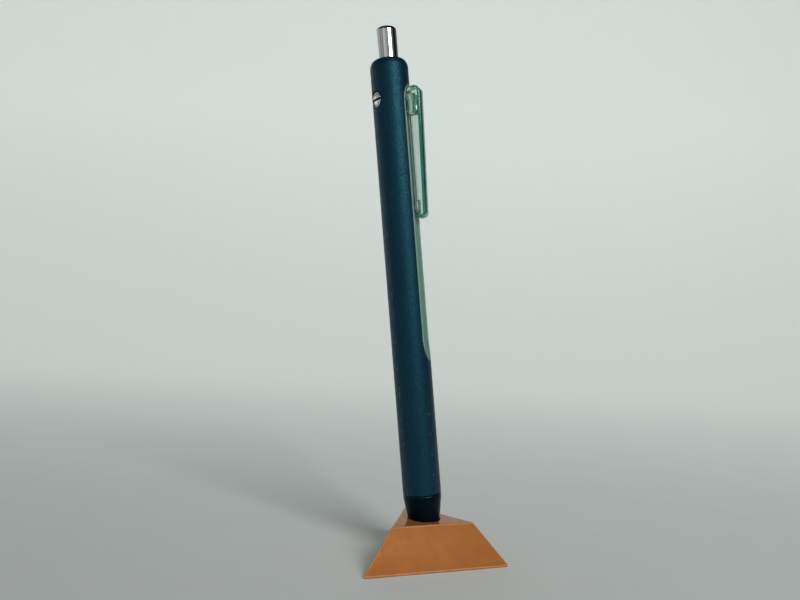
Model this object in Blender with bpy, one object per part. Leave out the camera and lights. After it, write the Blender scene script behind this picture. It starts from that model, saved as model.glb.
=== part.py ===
"""Desk pen stand: a three-sided holder with a leaning socket, and the push-button pen that stands in it.

The holder sits on z = 0 with the centre of its base at the origin and one side facing -Y.
Pen pieces are drawn along the pen's own axis: s = 0 where that axis leaves the holder's top face, s upwards.
"""

import math

import bmesh
import bpy
from mathutils import Matrix, Vector

MM = 0.001

# Clearances
RUN_GAP = 0.30 * MM
FIT_GAP = 0.20 * MM
SEAT_GAP = 0.15 * MM
BALL_GAP = 0.03 * MM
CUT_OVER = 2.0 * MM

# Holder
BASE_SIDE = 40.4 * MM
TOP_SIDE = 23.3 * MM
FOOT_HEIGHT = 0.7 * MM
HOLDER_EDGE_ROUND = 0.35 * MM
SOCKET_FLOOR = 1.20 * MM
SOCKET_FLOOR_DIAMETER = 5.6 * MM
SOCKET_STRAIGHT = 4.0 * MM
TIP_ROOM = 0.8 * MM

# How the pen stands
PEN_LEAN = math.radians(7.0)
LEAN_HEADING = math.radians(162.5)
CLIP_HEADING = math.radians(-38.7)
SCREW_HEADING = math.radians(-168.0)

# Push-button stroke
STROKE = 4.5 * MM
TIP_SET_BACK = 2.3 * MM
ROTOR_TEETH = 4

# Barrel
BARREL_DIAMETER = 10.4 * MM
BARREL_BORE = 6.6 * MM
BARREL_TOP_WALL = 3.5 * MM
SHOULDER_HEIGHT = 2.6 * MM
SHOULDER_LAND = 0.10 * MM
PARTING_CHAMFER = 0.18 * MM
FLAT_DEPTH = 0.74 * MM
FLAT_LENGTH = 75.0 * MM
FLAT_FROM_TOP = 7.3 * MM
FLAT_UPPER_RUN_OUT = 5.1 * MM
FLAT_LOWER_RUN_OUT = 7.0 * MM

# Nose cone
NOSE_SHOWING = 7.0 * MM
NOSE_COLLAR = 1.0 * MM
NOSE_IN_SOCKET = 6.6 * MM
NOSE_WAIST_DIAMETER = 8.55 * MM
NOSE_TIP_DIAMETER = 4.2 * MM
NOSE_TIP_ROUND = 0.35 * MM
OGIVE_FULLNESS = 0.55
NOSE_GUIDE_LENGTH = 6.6 * MM
SPIGOT_LENGTH = 7.5 * MM
SPIGOT_WALL = 0.45 * MM

# Refill
NECK_DIAMETER = 2.3 * MM
NECK_LENGTH = 20.0 * MM
POINT_LENGTH = 2.6 * MM
POINT_WALL = 0.2 * MM
BALL_DIAMETER = 1.0 * MM
BALL_SHOWING = 0.30 * MM
TUBE_DIAMETER = 5.9 * MM
TUBE_WALL = 0.45 * MM
TUBE_LENGTH = 72.0 * MM
PLUG_LENGTH = 4.0 * MM
CROWN_LENGTH = 5.4 * MM
CROWN_ROUND = 0.8 * MM

# Return spring
WIRE_DIAMETER = 0.5 * MM
COIL_DIAMETER = 4.6 * MM
COIL_TURNS = 7

# Click mechanism
ROTOR_DIAMETER = 4.4 * MM
ROTOR_LENGTH = 6.5 * MM
ROTOR_STEP = 0.5 * MM
TOOTH_HEIGHT = 0.9 * MM
PLUNGER_HEAD_LENGTH = 9.8 * MM
STEM_DIAMETER = 3.2 * MM
ROTOR_BELOW_SLEEVE = 0.6 * MM
SLEEVE_LIP_LENGTH = 7.2 * MM

# Push button
BUTTON_DIAMETER = 5.7 * MM
BUTTON_SHOWING = 8.9 * MM
BUTTON_INSIDE = 2.7 * MM
BUTTON_EDGE_ROUND = 1.1 * MM
BUTTON_CAP = 2.0 * MM

# Side screw
SCREW_HEAD_DIAMETER = 4.0 * MM
SCREW_HEAD_HEIGHT = 0.75 * MM
SCREW_DOME = 0.28 * MM
SCREW_SHANK_DIAMETER = 2.0 * MM
SCREW_SUNK = 0.25 * MM
SCREW_BITE = 0.6 * MM
SLOT_WIDTH = 0.65 * MM
SLOT_DEPTH = 0.55 * MM

# Clip
CLIP_LENGTH = 35.6 * MM
CLIP_FROM_TOP = 8.2 * MM
CLIP_WIDTH = 3.0 * MM
CLIP_BAND = 0.95 * MM
CLIP_SIDE_WALL = 0.4 * MM
CLIP_END_WALL = 0.5 * MM
CLIP_CURL = 0.8 * MM
CLIP_STAND_OFF = 0.6 * MM
CLIP_UPPER_PROUD = 4.3 * MM
CLIP_LOWER_PROUD = 3.35 * MM
CLIP_OUTER_ROUND = 1.95 * MM
CLIP_HEEL_ROUND = 1.4 * MM
CLIP_TOE_ROUND = 0.6 * MM
CLIP_BACK_ROUND = 1.0 * MM
CLIP_ROUND_LIMIT = 0.95
CLIP_EDGE_ROUND = 0.18 * MM
BOSS_FROM_CLIP_TOP = 2.1 * MM
BOSS_LENGTH = 5.4 * MM
BOSS_PROUD = 2.75 * MM
BOSS_ROUND = 0.8 * MM
PAD_LENGTH = 3.2 * MM
PAD_FROM_END = 1.9 * MM
PAD_WALL = 0.5 * MM
TANG_LENGTH = 3.0 * MM
TANG_DEPTH = 0.6 * MM

# Facets on round pieces
ROUND_STEPS = 48
INNER_STEPS = 32
SMALL_STEPS = 20
ARC_STEPS = 6
FILLET_STEPS = 4
BALL_STEPS = 12
COIL_POINTS = 12
SMOOTH_ANGLE = math.radians(35.0)

# Places along the pen's axis
S_NOSE_TIP = -NOSE_IN_SOCKET
S_SPRING_SEAT = S_NOSE_TIP + NOSE_GUIDE_LENGTH
S_BARREL_LOW = NOSE_SHOWING
S_SPIGOT_TOP = S_BARREL_LOW + SPIGOT_LENGTH
S_POINT = S_NOSE_TIP + TIP_SET_BACK
S_TUBE_LOW = S_POINT + NECK_LENGTH
S_TUBE_TOP = S_TUBE_LOW + TUBE_LENGTH
S_CROWN_TOP = S_TUBE_TOP + SEAT_GAP + CROWN_LENGTH
S_ROTOR_LOW = S_CROWN_TOP + SEAT_GAP
S_ROTOR_TOP = S_ROTOR_LOW + ROTOR_LENGTH
S_PLUNGER_LOW = S_ROTOR_TOP + RUN_GAP
S_PLUNGER_SHOULDER = S_PLUNGER_LOW + PLUNGER_HEAD_LENGTH
S_LIP_LOW = S_PLUNGER_SHOULDER + RUN_GAP
S_SLEEVE_TOP = S_LIP_LOW + SLEEVE_LIP_LENGTH
S_SLEEVE_LOW = S_ROTOR_LOW + ROTOR_BELOW_SLEEVE
S_BUTTON_LOW = S_SLEEVE_TOP + RUN_GAP + STROKE
S_BARREL_TOP = S_BUTTON_LOW + BUTTON_INSIDE
S_BUTTON_TOP = S_BARREL_TOP + BUTTON_SHOWING
S_BORE_TOP = S_BARREL_TOP - BARREL_TOP_WALL
S_SCREW = S_LIP_LOW + SLEEVE_LIP_LENGTH / 2
S_CLIP_TOP = S_BARREL_TOP - CLIP_FROM_TOP
CLIP_HEAD = BOSS_FROM_CLIP_TOP + BOSS_LENGTH / 2
S_CLIP_PIVOT = S_CLIP_TOP - CLIP_HEAD

# Radii and depths that follow from the fits
BARREL_RADIUS = BARREL_DIAMETER / 2
SPIGOT_INNER_RADIUS = TUBE_DIAMETER / 2 + RUN_GAP
SPIGOT_RADIUS = SPIGOT_INNER_RADIUS + SPIGOT_WALL
SPIGOT_SEAT_RADIUS = SPIGOT_RADIUS + FIT_GAP
BUTTON_HOLE_RADIUS = BUTTON_DIAMETER / 2 + RUN_GAP
GUIDE_BORE_RADIUS = NECK_DIAMETER / 2 + RUN_GAP
SLEEVE_RADIUS = BARREL_BORE / 2 - FIT_GAP
SLEEVE_BORE_RADIUS = ROTOR_DIAMETER / 2 + RUN_GAP
LIP_RADIUS = STEM_DIAMETER / 2 + RUN_GAP
SOCKET_RADIUS = NOSE_WAIST_DIAMETER / 2 + FIT_GAP
SOCKET_DEPTH = NOSE_IN_SOCKET + STROKE - TIP_SET_BACK + TIP_ROOM
FLAT_DISTANCE = BARREL_RADIUS - FLAT_DEPTH
HOLDER_HEIGHT = (
    SOCKET_DEPTH * math.cos(PEN_LEAN)
    + SOCKET_FLOOR_DIAMETER / 2 * math.sin(PEN_LEAN)
    + SOCKET_FLOOR
)


def clear_scene():
    for item in list(bpy.data.objects):
        bpy.data.objects.remove(item, do_unlink=True)


def finish(name, colour, roughness, metallic=0.0, transmission=0.0):
    """A Principled material of one colour."""
    surface = bpy.data.materials.new(name)
    surface.use_nodes = True
    shader = surface.node_tree.nodes["Principled BSDF"]
    shader.inputs["Base Color"].default_value = (*colour, 1.0)
    shader.inputs["Roughness"].default_value = roughness
    shader.inputs["Metallic"].default_value = metallic
    shader.inputs["Transmission Weight"].default_value = transmission
    surface.diffuse_color = (*colour, 1.0)
    return surface


def empty(name, parent=None, place=None):
    """A named frame for pieces to stand in."""
    frame = bpy.data.objects.new(name, None)
    bpy.context.scene.collection.objects.link(frame)
    frame.parent = parent
    if place is not None:
        frame.matrix_basis = place
    return frame


def add_mesh(name, bm, parent=None, surface=None, place=None):
    """Turn a bmesh into a named, smooth-shaded object."""
    bmesh.ops.recalc_face_normals(bm, faces=bm.faces)
    mesh = bpy.data.meshes.new(name)
    bm.to_mesh(mesh)
    bm.free()
    mesh.shade_smooth()
    mesh.set_sharp_from_angle(angle=SMOOTH_ANGLE)
    piece = bpy.data.objects.new(name, mesh)
    bpy.context.scene.collection.objects.link(piece)
    piece.parent = parent
    if place is not None:
        piece.matrix_basis = place
    if surface is not None:
        mesh.materials.append(surface)
    return piece


def arc(centre_r, centre_s, size_r, size_s, start_degrees, end_degrees, steps=ARC_STEPS):
    """Points on an ellipse in the (r, s) plane."""
    points = []
    for index in range(steps + 1):
        angle = math.radians(start_degrees + (end_degrees - start_degrees) * index / steps)
        points.append((centre_r + size_r * math.cos(angle), centre_s + size_s * math.sin(angle)))
    return points


def turned_mesh(outline, steps, closed):
    """Spin an (r, s) outline about the axis. A closed outline makes a ring, an open one ends on the axis."""
    bm = bmesh.new()
    points = [bm.verts.new((radius, 0.0, height)) for radius, height in outline]
    edges = [bm.edges.new(pair) for pair in zip(points, points[1:])]
    if closed:
        edges.append(bm.edges.new((points[-1], points[0])))
    bmesh.ops.spin(
        bm,
        geom=points + edges,
        cent=(0.0, 0.0, 0.0),
        axis=(0.0, 0.0, 1.0),
        angle=2 * math.pi,
        steps=steps,
        use_duplicate=False,
    )
    bmesh.ops.remove_doubles(bm, verts=bm.verts, dist=0.001 * MM)
    return bm


def prism_mesh(outline, width):
    """Extrude an (x, z) outline to both sides of the plane y = 0."""
    bm = bmesh.new()
    corners = [bm.verts.new((x, -width / 2, z)) for x, z in outline]
    face = bm.faces.new(corners)
    grown = bmesh.ops.extrude_face_region(bm, geom=[face])
    moved = [item for item in grown["geom"] if isinstance(item, bmesh.types.BMVert)]
    bmesh.ops.translate(bm, verts=moved, vec=(0.0, width, 0.0))
    return bm


def box_mesh(low, high):
    """A box between two corners."""
    bm = bmesh.new()
    bmesh.ops.create_cube(bm, size=1.0)
    size = Vector(high) - Vector(low)
    bmesh.ops.scale(bm, vec=size, verts=bm.verts)
    bmesh.ops.translate(bm, vec=(Vector(high) + Vector(low)) / 2, verts=bm.verts)
    return bm


def cutter(name, bm, parent=None, place=None):
    """A shape that only cuts others."""
    shape = add_mesh(name, bm, parent, None, place)
    shape.hide_render = True
    shape.display_type = "WIRE"
    return shape


def cut(piece, tool):
    """Take one shape out of another."""
    change = piece.modifiers.new("cut_" + tool.name, "BOOLEAN")
    change.operation = "DIFFERENCE"
    change.solver = "EXACT"
    change.object = tool


def round_edges(piece, width, segments):
    """Round the sharp edges of a piece."""
    change = piece.modifiers.new("round_edges", "BEVEL")
    change.width = width
    change.segments = segments
    change.limit_method = "ANGLE"
    change.angle_limit = SMOOTH_ANGLE


def about_axis(heading):
    """A frame on the pen's axis whose +X looks along a heading."""
    return Matrix.Rotation(heading, 4, "Z")


def make_pen_frame():
    """The leaning frame of the pen: its +Z is the pen's axis, and it starts at the socket's mouth."""
    tilt_axis = Vector((-math.sin(LEAN_HEADING), math.cos(LEAN_HEADING), 0.0))
    lean = Matrix.Rotation(PEN_LEAN, 4, tilt_axis)
    return empty("pen_axis", None, Matrix.Translation((0.0, 0.0, HOLDER_HEIGHT)) @ lean)


def triangle(side, height):
    """Corners of a level triangle with one side facing -Y."""
    radius = side / math.sqrt(3)
    corners = []
    for degrees in (90, 210, 330):
        angle = math.radians(degrees)
        corners.append((radius * math.cos(angle), radius * math.sin(angle), height))
    return corners


def make_holder(pen):
    """A three-sided frustum on a low foot, with a blind socket along the pen's axis."""
    bm = bmesh.new()
    levels = [(BASE_SIDE, 0.0), (BASE_SIDE, FOOT_HEIGHT), (TOP_SIDE, HOLDER_HEIGHT)]
    rings = [[bm.verts.new(corner) for corner in triangle(side, height)] for side, height in levels]
    bm.faces.new(reversed(rings[0]))
    bm.faces.new(rings[-1])
    for lower, upper in zip(rings, rings[1:]):
        for index in range(3):
            bm.faces.new((lower[index - 1], lower[index], upper[index], upper[index - 1]))
    surface = finish("copper_print", (0.38, 0.14, 0.042), 0.42)
    holder = add_mesh("holder_body", bm, None, surface)
    round_edges(holder, HOLDER_EDGE_ROUND, 2)
    socket = [
        (0.0, CUT_OVER),
        (SOCKET_RADIUS, CUT_OVER),
        (SOCKET_RADIUS, -SOCKET_STRAIGHT),
        (SOCKET_FLOOR_DIAMETER / 2, -SOCKET_DEPTH),
        (0.0, -SOCKET_DEPTH),
    ]
    cut(holder, cutter("socket_cut", turned_mesh(socket, ROUND_STEPS, False), pen))


def make_barrel(pen):
    """The main tube, closed at the top around the push button."""
    shoulder_reach = BARREL_RADIUS - BUTTON_HOLE_RADIUS - SHOULDER_LAND
    shoulder = arc(
        BARREL_RADIUS - shoulder_reach,
        S_BARREL_TOP - SHOULDER_HEIGHT,
        shoulder_reach,
        SHOULDER_HEIGHT,
        90,
        0,
    )
    outline = [
        (BUTTON_HOLE_RADIUS, S_BARREL_TOP),
        *shoulder,
        (BARREL_RADIUS, S_BARREL_LOW + PARTING_CHAMFER),
        (BARREL_RADIUS - PARTING_CHAMFER, S_BARREL_LOW),
        (SPIGOT_SEAT_RADIUS, S_BARREL_LOW),
        (SPIGOT_SEAT_RADIUS, S_SPIGOT_TOP + SEAT_GAP),
        (BARREL_BORE / 2, S_SPIGOT_TOP + SEAT_GAP),
        (BARREL_BORE / 2, S_BORE_TOP),
        (BUTTON_HOLE_RADIUS, S_BORE_TOP),
    ]
    surface = finish("petrol_satin", (0.012, 0.058, 0.085), 0.38)
    barrel = add_mesh("barrel", turned_mesh(outline, ROUND_STEPS, True), pen, surface)
    cut(barrel, make_flat_cut(pen))
    cut(barrel, make_screw_cut(pen))
    cut(barrel, make_tang_cut(pen))


def make_flat_cut(pen):
    """The long flat under the clip, running out at both ends."""
    low = S_BARREL_TOP - FLAT_FROM_TOP - FLAT_LENGTH
    high = low + FLAT_LENGTH
    clear = BARREL_RADIUS + CUT_OVER
    outline = [(clear, low - CUT_OVER)]
    outline += run_out(low, FLAT_LOWER_RUN_OUT)
    outline += reversed(run_out(high, -FLAT_UPPER_RUN_OUT))
    outline.append((clear, high + CUT_OVER))
    shape = prism_mesh(outline, BARREL_DIAMETER + CUT_OVER)
    return cutter("flat_cut", shape, pen, about_axis(CLIP_HEADING))


def run_out(end, reach):
    """An arc from the barrel's skin at one end of the flat down to the flat's full depth."""
    radius = (reach**2 + FLAT_DEPTH**2) / (2 * FLAT_DEPTH)
    points = []
    for index in range(ARC_STEPS + 1):
        left = reach * (1 - index / ARC_STEPS)
        points.append((FLAT_DISTANCE + radius - math.sqrt(radius**2 - left**2), end + reach - left))
    return points


def make_screw_cut(pen):
    """Counterbore and hole for the side screw, drilled towards the axis."""
    head_radius = SCREW_HEAD_DIAMETER / 2 + RUN_GAP
    shank_radius = SCREW_SHANK_DIAMETER / 2 + FIT_GAP
    floor = BARREL_RADIUS - SCREW_SUNK - SCREW_DOME - SCREW_HEAD_HEIGHT - SEAT_GAP
    outline = [
        (0.0, BARREL_RADIUS + CUT_OVER),
        (head_radius, BARREL_RADIUS + CUT_OVER),
        (head_radius, floor),
        (shank_radius, floor),
        (shank_radius, LIP_RADIUS / 2),
        (0.0, LIP_RADIUS / 2),
    ]
    return cutter("screw_cut", turned_mesh(outline, SMALL_STEPS, False), pen, screw_place())


def screw_place():
    """The side screw's own frame: +Z points out of the barrel."""
    return (
        Matrix.Translation((0.0, 0.0, S_SCREW))
        @ about_axis(SCREW_HEADING)
        @ Matrix.Rotation(math.pi / 2, 4, "Y")
    )


def make_tang_cut(pen):
    """The window in the flat that takes the clip's tang."""
    half_width = CLIP_WIDTH / 2 + RUN_GAP
    half_length = TANG_LENGTH / 2 + RUN_GAP
    shape = box_mesh(
        (LIP_RADIUS, -half_width, S_CLIP_PIVOT - half_length),
        (BARREL_RADIUS + CUT_OVER, half_width, S_CLIP_PIVOT + half_length),
    )
    return cutter("tang_cut", shape, pen, about_axis(CLIP_HEADING))


def make_nose(pen):
    """The screwed-in nose cone, which guides the refill's neck and seats the spring."""
    collar_low = S_BARREL_LOW - NOSE_COLLAR
    shoulder = S_BARREL_LOW - SEAT_GAP
    tip_radius = NOSE_TIP_DIAMETER / 2
    outline = [
        (SPIGOT_RADIUS, S_SPIGOT_TOP),
        (SPIGOT_RADIUS, shoulder),
        (BARREL_RADIUS - PARTING_CHAMFER, shoulder),
        (BARREL_RADIUS, shoulder - PARTING_CHAMFER),
        (BARREL_RADIUS, collar_low),
        (NOSE_WAIST_DIAMETER / 2, 0.0),
        *nose_ogive(),
        *arc(
            tip_radius - NOSE_TIP_ROUND,
            S_NOSE_TIP + NOSE_TIP_ROUND,
            NOSE_TIP_ROUND,
            NOSE_TIP_ROUND,
            0,
            -90,
            FILLET_STEPS,
        ),
        (GUIDE_BORE_RADIUS, S_NOSE_TIP),
        (GUIDE_BORE_RADIUS, S_SPRING_SEAT),
        (SPIGOT_INNER_RADIUS, S_SPRING_SEAT),
        (SPIGOT_INNER_RADIUS, S_SPIGOT_TOP),
    ]
    surface = finish("navy_satin", (0.006, 0.012, 0.03), 0.36)
    add_mesh("nose_cone", turned_mesh(outline, ROUND_STEPS, True), pen, surface)


def nose_ogive():
    """The curve from the waist down to the tip, tangent to the cone above it."""
    waist = Vector((NOSE_WAIST_DIAMETER / 2, 0.0))
    tip = Vector((NOSE_TIP_DIAMETER / 2, S_NOSE_TIP + NOSE_TIP_ROUND))
    slope = (BARREL_RADIUS - waist.x) / (NOSE_SHOWING - NOSE_COLLAR)
    bend = Vector((waist.x + slope * tip.y * OGIVE_FULLNESS, tip.y * OGIVE_FULLNESS))
    points = []
    for index in range(1, ARC_STEPS):
        share = index / ARC_STEPS
        point = waist * (1 - share) ** 2 + bend * (2 * share * (1 - share)) + tip * share**2
        points.append((point.x, point.y))
    return points


def make_refill(pen):
    """Ink tube, its end crown, its tip and the ball in the tip."""
    tube_radius = TUBE_DIAMETER / 2
    tube_bore = tube_radius - TUBE_WALL
    plug_radius = tube_bore - FIT_GAP
    tube = [
        (tube_radius, S_TUBE_TOP),
        (tube_radius, S_TUBE_LOW),
        (tube_bore, S_TUBE_LOW),
        (tube_bore, S_TUBE_TOP),
    ]
    steel = finish("tube_steel", (0.55, 0.56, 0.58), 0.32, 1.0)
    add_mesh("refill_tube", turned_mesh(tube, INNER_STEPS, True), pen, steel)

    crown_low = S_TUBE_TOP + SEAT_GAP
    crown = [
        (0.0, S_CROWN_TOP),
        *arc(
            tube_radius - CROWN_ROUND,
            S_CROWN_TOP - CROWN_ROUND,
            CROWN_ROUND,
            CROWN_ROUND,
            90,
            0,
            FILLET_STEPS,
        ),
        (tube_radius, crown_low),
        (plug_radius, crown_low),
        (plug_radius, crown_low - PLUG_LENGTH),
        (0.0, crown_low - PLUG_LENGTH),
    ]
    plastic = finish("crown_plastic", (0.03, 0.03, 0.035), 0.5)
    add_mesh("refill_crown", turned_mesh(crown, INNER_STEPS, False), pen, plastic)

    ball_radius = BALL_DIAMETER / 2
    cup_radius = ball_radius + BALL_GAP
    cup_top = S_POINT + BALL_DIAMETER + BALL_GAP
    mouth = S_POINT + BALL_SHOWING
    tip = [
        (0.0, S_TUBE_LOW + PLUG_LENGTH),
        (plug_radius, S_TUBE_LOW + PLUG_LENGTH),
        (plug_radius, S_TUBE_LOW),
        (NECK_DIAMETER / 2, S_TUBE_LOW),
        (NECK_DIAMETER / 2, S_POINT + POINT_LENGTH),
        (cup_radius + POINT_WALL, mouth),
        (cup_radius, mouth),
        (cup_radius, cup_top),
        (0.0, cup_top),
    ]
    brass = finish("tip_brass", (0.62, 0.44, 0.18), 0.3, 1.0)
    add_mesh("refill_tip", turned_mesh(tip, SMALL_STEPS, False), pen, brass)

    bm = bmesh.new()
    bmesh.ops.create_uvsphere(bm, u_segments=BALL_STEPS, v_segments=BALL_STEPS // 2, radius=ball_radius)
    carbide = finish("ball_carbide", (0.32, 0.32, 0.33), 0.2, 1.0)
    place = Matrix.Translation((0.0, 0.0, S_POINT + ball_radius))
    add_mesh("writing_ball", bm, pen, carbide, place)


def make_spring(pen):
    """The return spring between the nose cone and the ink tube."""
    low = S_SPRING_SEAT + SEAT_GAP + WIRE_DIAMETER / 2
    high = S_TUBE_LOW - SEAT_GAP - WIRE_DIAMETER / 2
    count = COIL_TURNS * COIL_POINTS
    curve = bpy.data.curves.new("return_spring", "CURVE")
    curve.dimensions = "3D"
    curve.bevel_depth = WIRE_DIAMETER / 2
    curve.bevel_resolution = 1
    curve.use_fill_caps = True
    spline = curve.splines.new("POLY")
    spline.points.add(count)
    for index, point in enumerate(spline.points):
        angle = 2 * math.pi * index / COIL_POINTS
        height = low + (high - low) * index / count
        point.co = (COIL_DIAMETER / 2 * math.cos(angle), COIL_DIAMETER / 2 * math.sin(angle), height, 1.0)
    curve.materials.append(finish("spring_steel", (0.5, 0.5, 0.52), 0.35, 1.0))
    spring = bpy.data.objects.new("return_spring", curve)
    bpy.context.scene.collection.objects.link(spring)
    spring.parent = pen


def make_mechanism(pen):
    """Guide sleeve, cam rotor and plunger, with crown teeth between the last two."""
    sleeve = [
        (SLEEVE_RADIUS, S_SLEEVE_TOP),
        (SLEEVE_RADIUS, S_SLEEVE_LOW),
        (SLEEVE_BORE_RADIUS, S_SLEEVE_LOW),
        (SLEEVE_BORE_RADIUS, S_LIP_LOW),
        (LIP_RADIUS, S_LIP_LOW),
        (LIP_RADIUS, S_SLEEVE_TOP),
    ]
    brass = finish("sleeve_brass", (0.58, 0.42, 0.18), 0.36, 1.0)
    guide = add_mesh("guide_sleeve", turned_mesh(sleeve, INNER_STEPS, True), pen, brass)
    cut(guide, bpy.data.objects["screw_cut"])

    radius = ROTOR_DIAMETER / 2
    body = [
        (0.0, S_ROTOR_TOP),
        (radius, S_ROTOR_TOP),
        (radius, S_ROTOR_LOW + ROTOR_STEP),
        (radius - ROTOR_STEP, S_ROTOR_LOW),
        (0.0, S_ROTOR_LOW),
    ]
    white = finish("rotor_plastic", (0.72, 0.72, 0.70), 0.45)
    rotor = add_mesh("cam_rotor", turned_mesh(body, INNER_STEPS, False), pen, white)
    cut_teeth(rotor, pen, S_ROTOR_TOP, -1.0)

    button_bore_top = S_BUTTON_TOP - BUTTON_CAP
    body = [
        (0.0, button_bore_top - SEAT_GAP),
        (STEM_DIAMETER / 2, button_bore_top - SEAT_GAP),
        (STEM_DIAMETER / 2, S_PLUNGER_SHOULDER),
        (radius, S_PLUNGER_SHOULDER),
        (radius, S_PLUNGER_LOW),
        (0.0, S_PLUNGER_LOW),
    ]
    black = finish("plunger_plastic", (0.02, 0.02, 0.022), 0.45)
    plunger = add_mesh("plunger", turned_mesh(body, INNER_STEPS, False), pen, black)
    cut_teeth(plunger, pen, S_PLUNGER_LOW, 1.0)


def cut_teeth(piece, pen, face, into):
    """Cut V notches across an end face, which leaves crown teeth between them."""
    over = TOOTH_HEIGHT
    outline = [
        (-2 * TOOTH_HEIGHT, face - into * over),
        (0.0, face + into * TOOTH_HEIGHT),
        (2 * TOOTH_HEIGHT, face - into * over),
    ]
    for index in range(ROTOR_TEETH // 2):
        turn = 2 * math.pi * index / ROTOR_TEETH
        shape = prism_mesh(outline, ROTOR_DIAMETER + CUT_OVER)
        cut(piece, cutter(f"{piece.name}_notch_{index + 1}", shape, pen, about_axis(turn)))


def make_button(pen):
    """The push-button cap, pressed over the plunger's stem."""
    radius = BUTTON_DIAMETER / 2
    bore = STEM_DIAMETER / 2 + FIT_GAP
    bore_top = S_BUTTON_TOP - BUTTON_CAP
    outline = [
        (0.0, S_BUTTON_TOP),
        *arc(
            radius - BUTTON_EDGE_ROUND,
            S_BUTTON_TOP - BUTTON_EDGE_ROUND,
            BUTTON_EDGE_ROUND,
            BUTTON_EDGE_ROUND,
            90,
            0,
        ),
        (radius, S_BUTTON_LOW),
        (bore, S_BUTTON_LOW),
        (bore, bore_top),
        (0.0, bore_top),
    ]
    chrome = finish("button_chrome", (0.78, 0.79, 0.80), 0.08, 1.0)
    add_mesh("push_button", turned_mesh(outline, ROUND_STEPS, False), pen, chrome)


def make_side_screw(pen):
    """The slotted screw that holds the guide sleeve in the barrel."""
    crown = BARREL_RADIUS - SCREW_SUNK
    head_radius = SCREW_HEAD_DIAMETER / 2
    shank_radius = SCREW_SHANK_DIAMETER / 2
    edge = crown - SCREW_DOME
    head_base = edge - SCREW_HEAD_HEIGHT
    shank_end = SLEEVE_RADIUS - SCREW_BITE
    outline = [
        *arc(0.0, edge, head_radius, SCREW_DOME, 90, 0, FILLET_STEPS),
        (head_radius, head_base),
        (shank_radius, head_base),
        (shank_radius, shank_end),
        (0.0, shank_end),
    ]
    chrome = finish("screw_chrome", (0.74, 0.75, 0.76), 0.14, 1.0)
    screw = add_mesh("side_screw", turned_mesh(outline, SMALL_STEPS, False), pen, chrome, screw_place())
    slot = box_mesh(
        (-SLOT_WIDTH / 2, -head_radius - CUT_OVER, crown - SLOT_DEPTH),
        (SLOT_WIDTH / 2, head_radius + CUT_OVER, crown + CUT_OVER),
    )
    cut(screw, cutter("slot_cut", slot, pen, screw_place()))


def make_clip(pen):
    """The clear pocket clip: a channel that is open towards the barrel, on a boss with a tang."""
    place = about_axis(CLIP_HEADING) @ Matrix.Translation((FLAT_DISTANCE, 0.0, S_CLIP_PIVOT))
    pivot = empty("clip_pivot", pen, place)
    green = finish("clip_clear_green", (0.08, 0.34, 0.27), 0.08, 0.0, 0.8)
    clip = add_mesh("clip", prism_mesh(clip_outline(), CLIP_WIDTH), pivot, green)
    round_edges(clip, CLIP_EDGE_ROUND, 2)
    hollow = prism_mesh(clip_hollow(), CLIP_WIDTH - 2 * CLIP_SIDE_WALL)
    cut(clip, cutter("clip_hollow", hollow, pivot))
    for side in (1, -1):
        cut(clip, cutter(f"clip_back_{side}", back_corner(side), pivot))


def back_corner(side):
    """What the round takes off one long edge of the clip's back."""
    reach = min(CLIP_BACK_ROUND, CLIP_WIDTH / 2 * CLIP_ROUND_LIMIT)
    edge = CLIP_WIDTH / 2
    outline = [
        *arc(-reach, edge - reach, reach, reach, 0, 90),
        (-reach, edge + CUT_OVER),
        (CUT_OVER, edge + CUT_OVER),
        (CUT_OVER, edge - reach),
    ]
    outer = clip_rounds()[-1]
    slope = (CLIP_UPPER_PROUD - CLIP_LOWER_PROUD) / (CLIP_LENGTH - 2 * outer)
    proud = (CLIP_UPPER_PROUD + CLIP_LOWER_PROUD) / 2
    middle = CLIP_HEAD - CLIP_LENGTH / 2
    bm = prism_mesh(outline, CLIP_LENGTH + 2 * CUT_OVER)
    along_back = Matrix(((1, slope, 0, proud), (0, 0, side, 0), (0, 1, 0, middle), (0, 0, 0, 1)))
    bmesh.ops.transform(bm, matrix=along_back, verts=bm.verts)
    return bm


def clip_rounds():
    """The side view's rounds within the clip's depth: heel and toe towards the barrel, and the back's."""
    depth = CLIP_LOWER_PROUD - CLIP_STAND_OFF
    toe = min(CLIP_TOE_ROUND, depth / 3)
    outer = min(CLIP_OUTER_ROUND, (depth - toe) * CLIP_ROUND_LIMIT)
    heel = min(CLIP_HEEL_ROUND, (CLIP_UPPER_PROUD - CLIP_STAND_OFF - outer) * CLIP_ROUND_LIMIT)
    return heel, toe, outer


def clip_outline():
    """The clip's side view: x is measured from the flat and z from the middle of the boss."""
    top = CLIP_HEAD
    low = CLIP_HEAD - CLIP_LENGTH
    heel, toe, outer = clip_rounds()
    pad_proud = CLIP_STAND_OFF - RUN_GAP
    return [
        *arc(CLIP_STAND_OFF + toe, low + toe, toe, toe, 180, 270, FILLET_STEPS),
        *arc(CLIP_LOWER_PROUD - outer, low + outer, outer, outer, 270, 360),
        *arc(CLIP_UPPER_PROUD - outer, top - outer, outer, outer, 0, 90),
        *arc(CLIP_STAND_OFF + heel, top - heel, heel, heel, 90, 180, FILLET_STEPS),
        (CLIP_STAND_OFF, BOSS_LENGTH / 2),
        (RUN_GAP, BOSS_LENGTH / 2),
        (RUN_GAP, TANG_LENGTH / 2),
        (-TANG_DEPTH, TANG_LENGTH / 2),
        (-TANG_DEPTH, -TANG_LENGTH / 2),
        (RUN_GAP, -TANG_LENGTH / 2),
        (RUN_GAP, -BOSS_LENGTH / 2),
        (CLIP_STAND_OFF, -BOSS_LENGTH / 2),
        *arc(CLIP_STAND_OFF, low + PAD_FROM_END + PAD_LENGTH / 2, pad_proud, PAD_LENGTH / 2, 90, 270),
    ]


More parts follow.
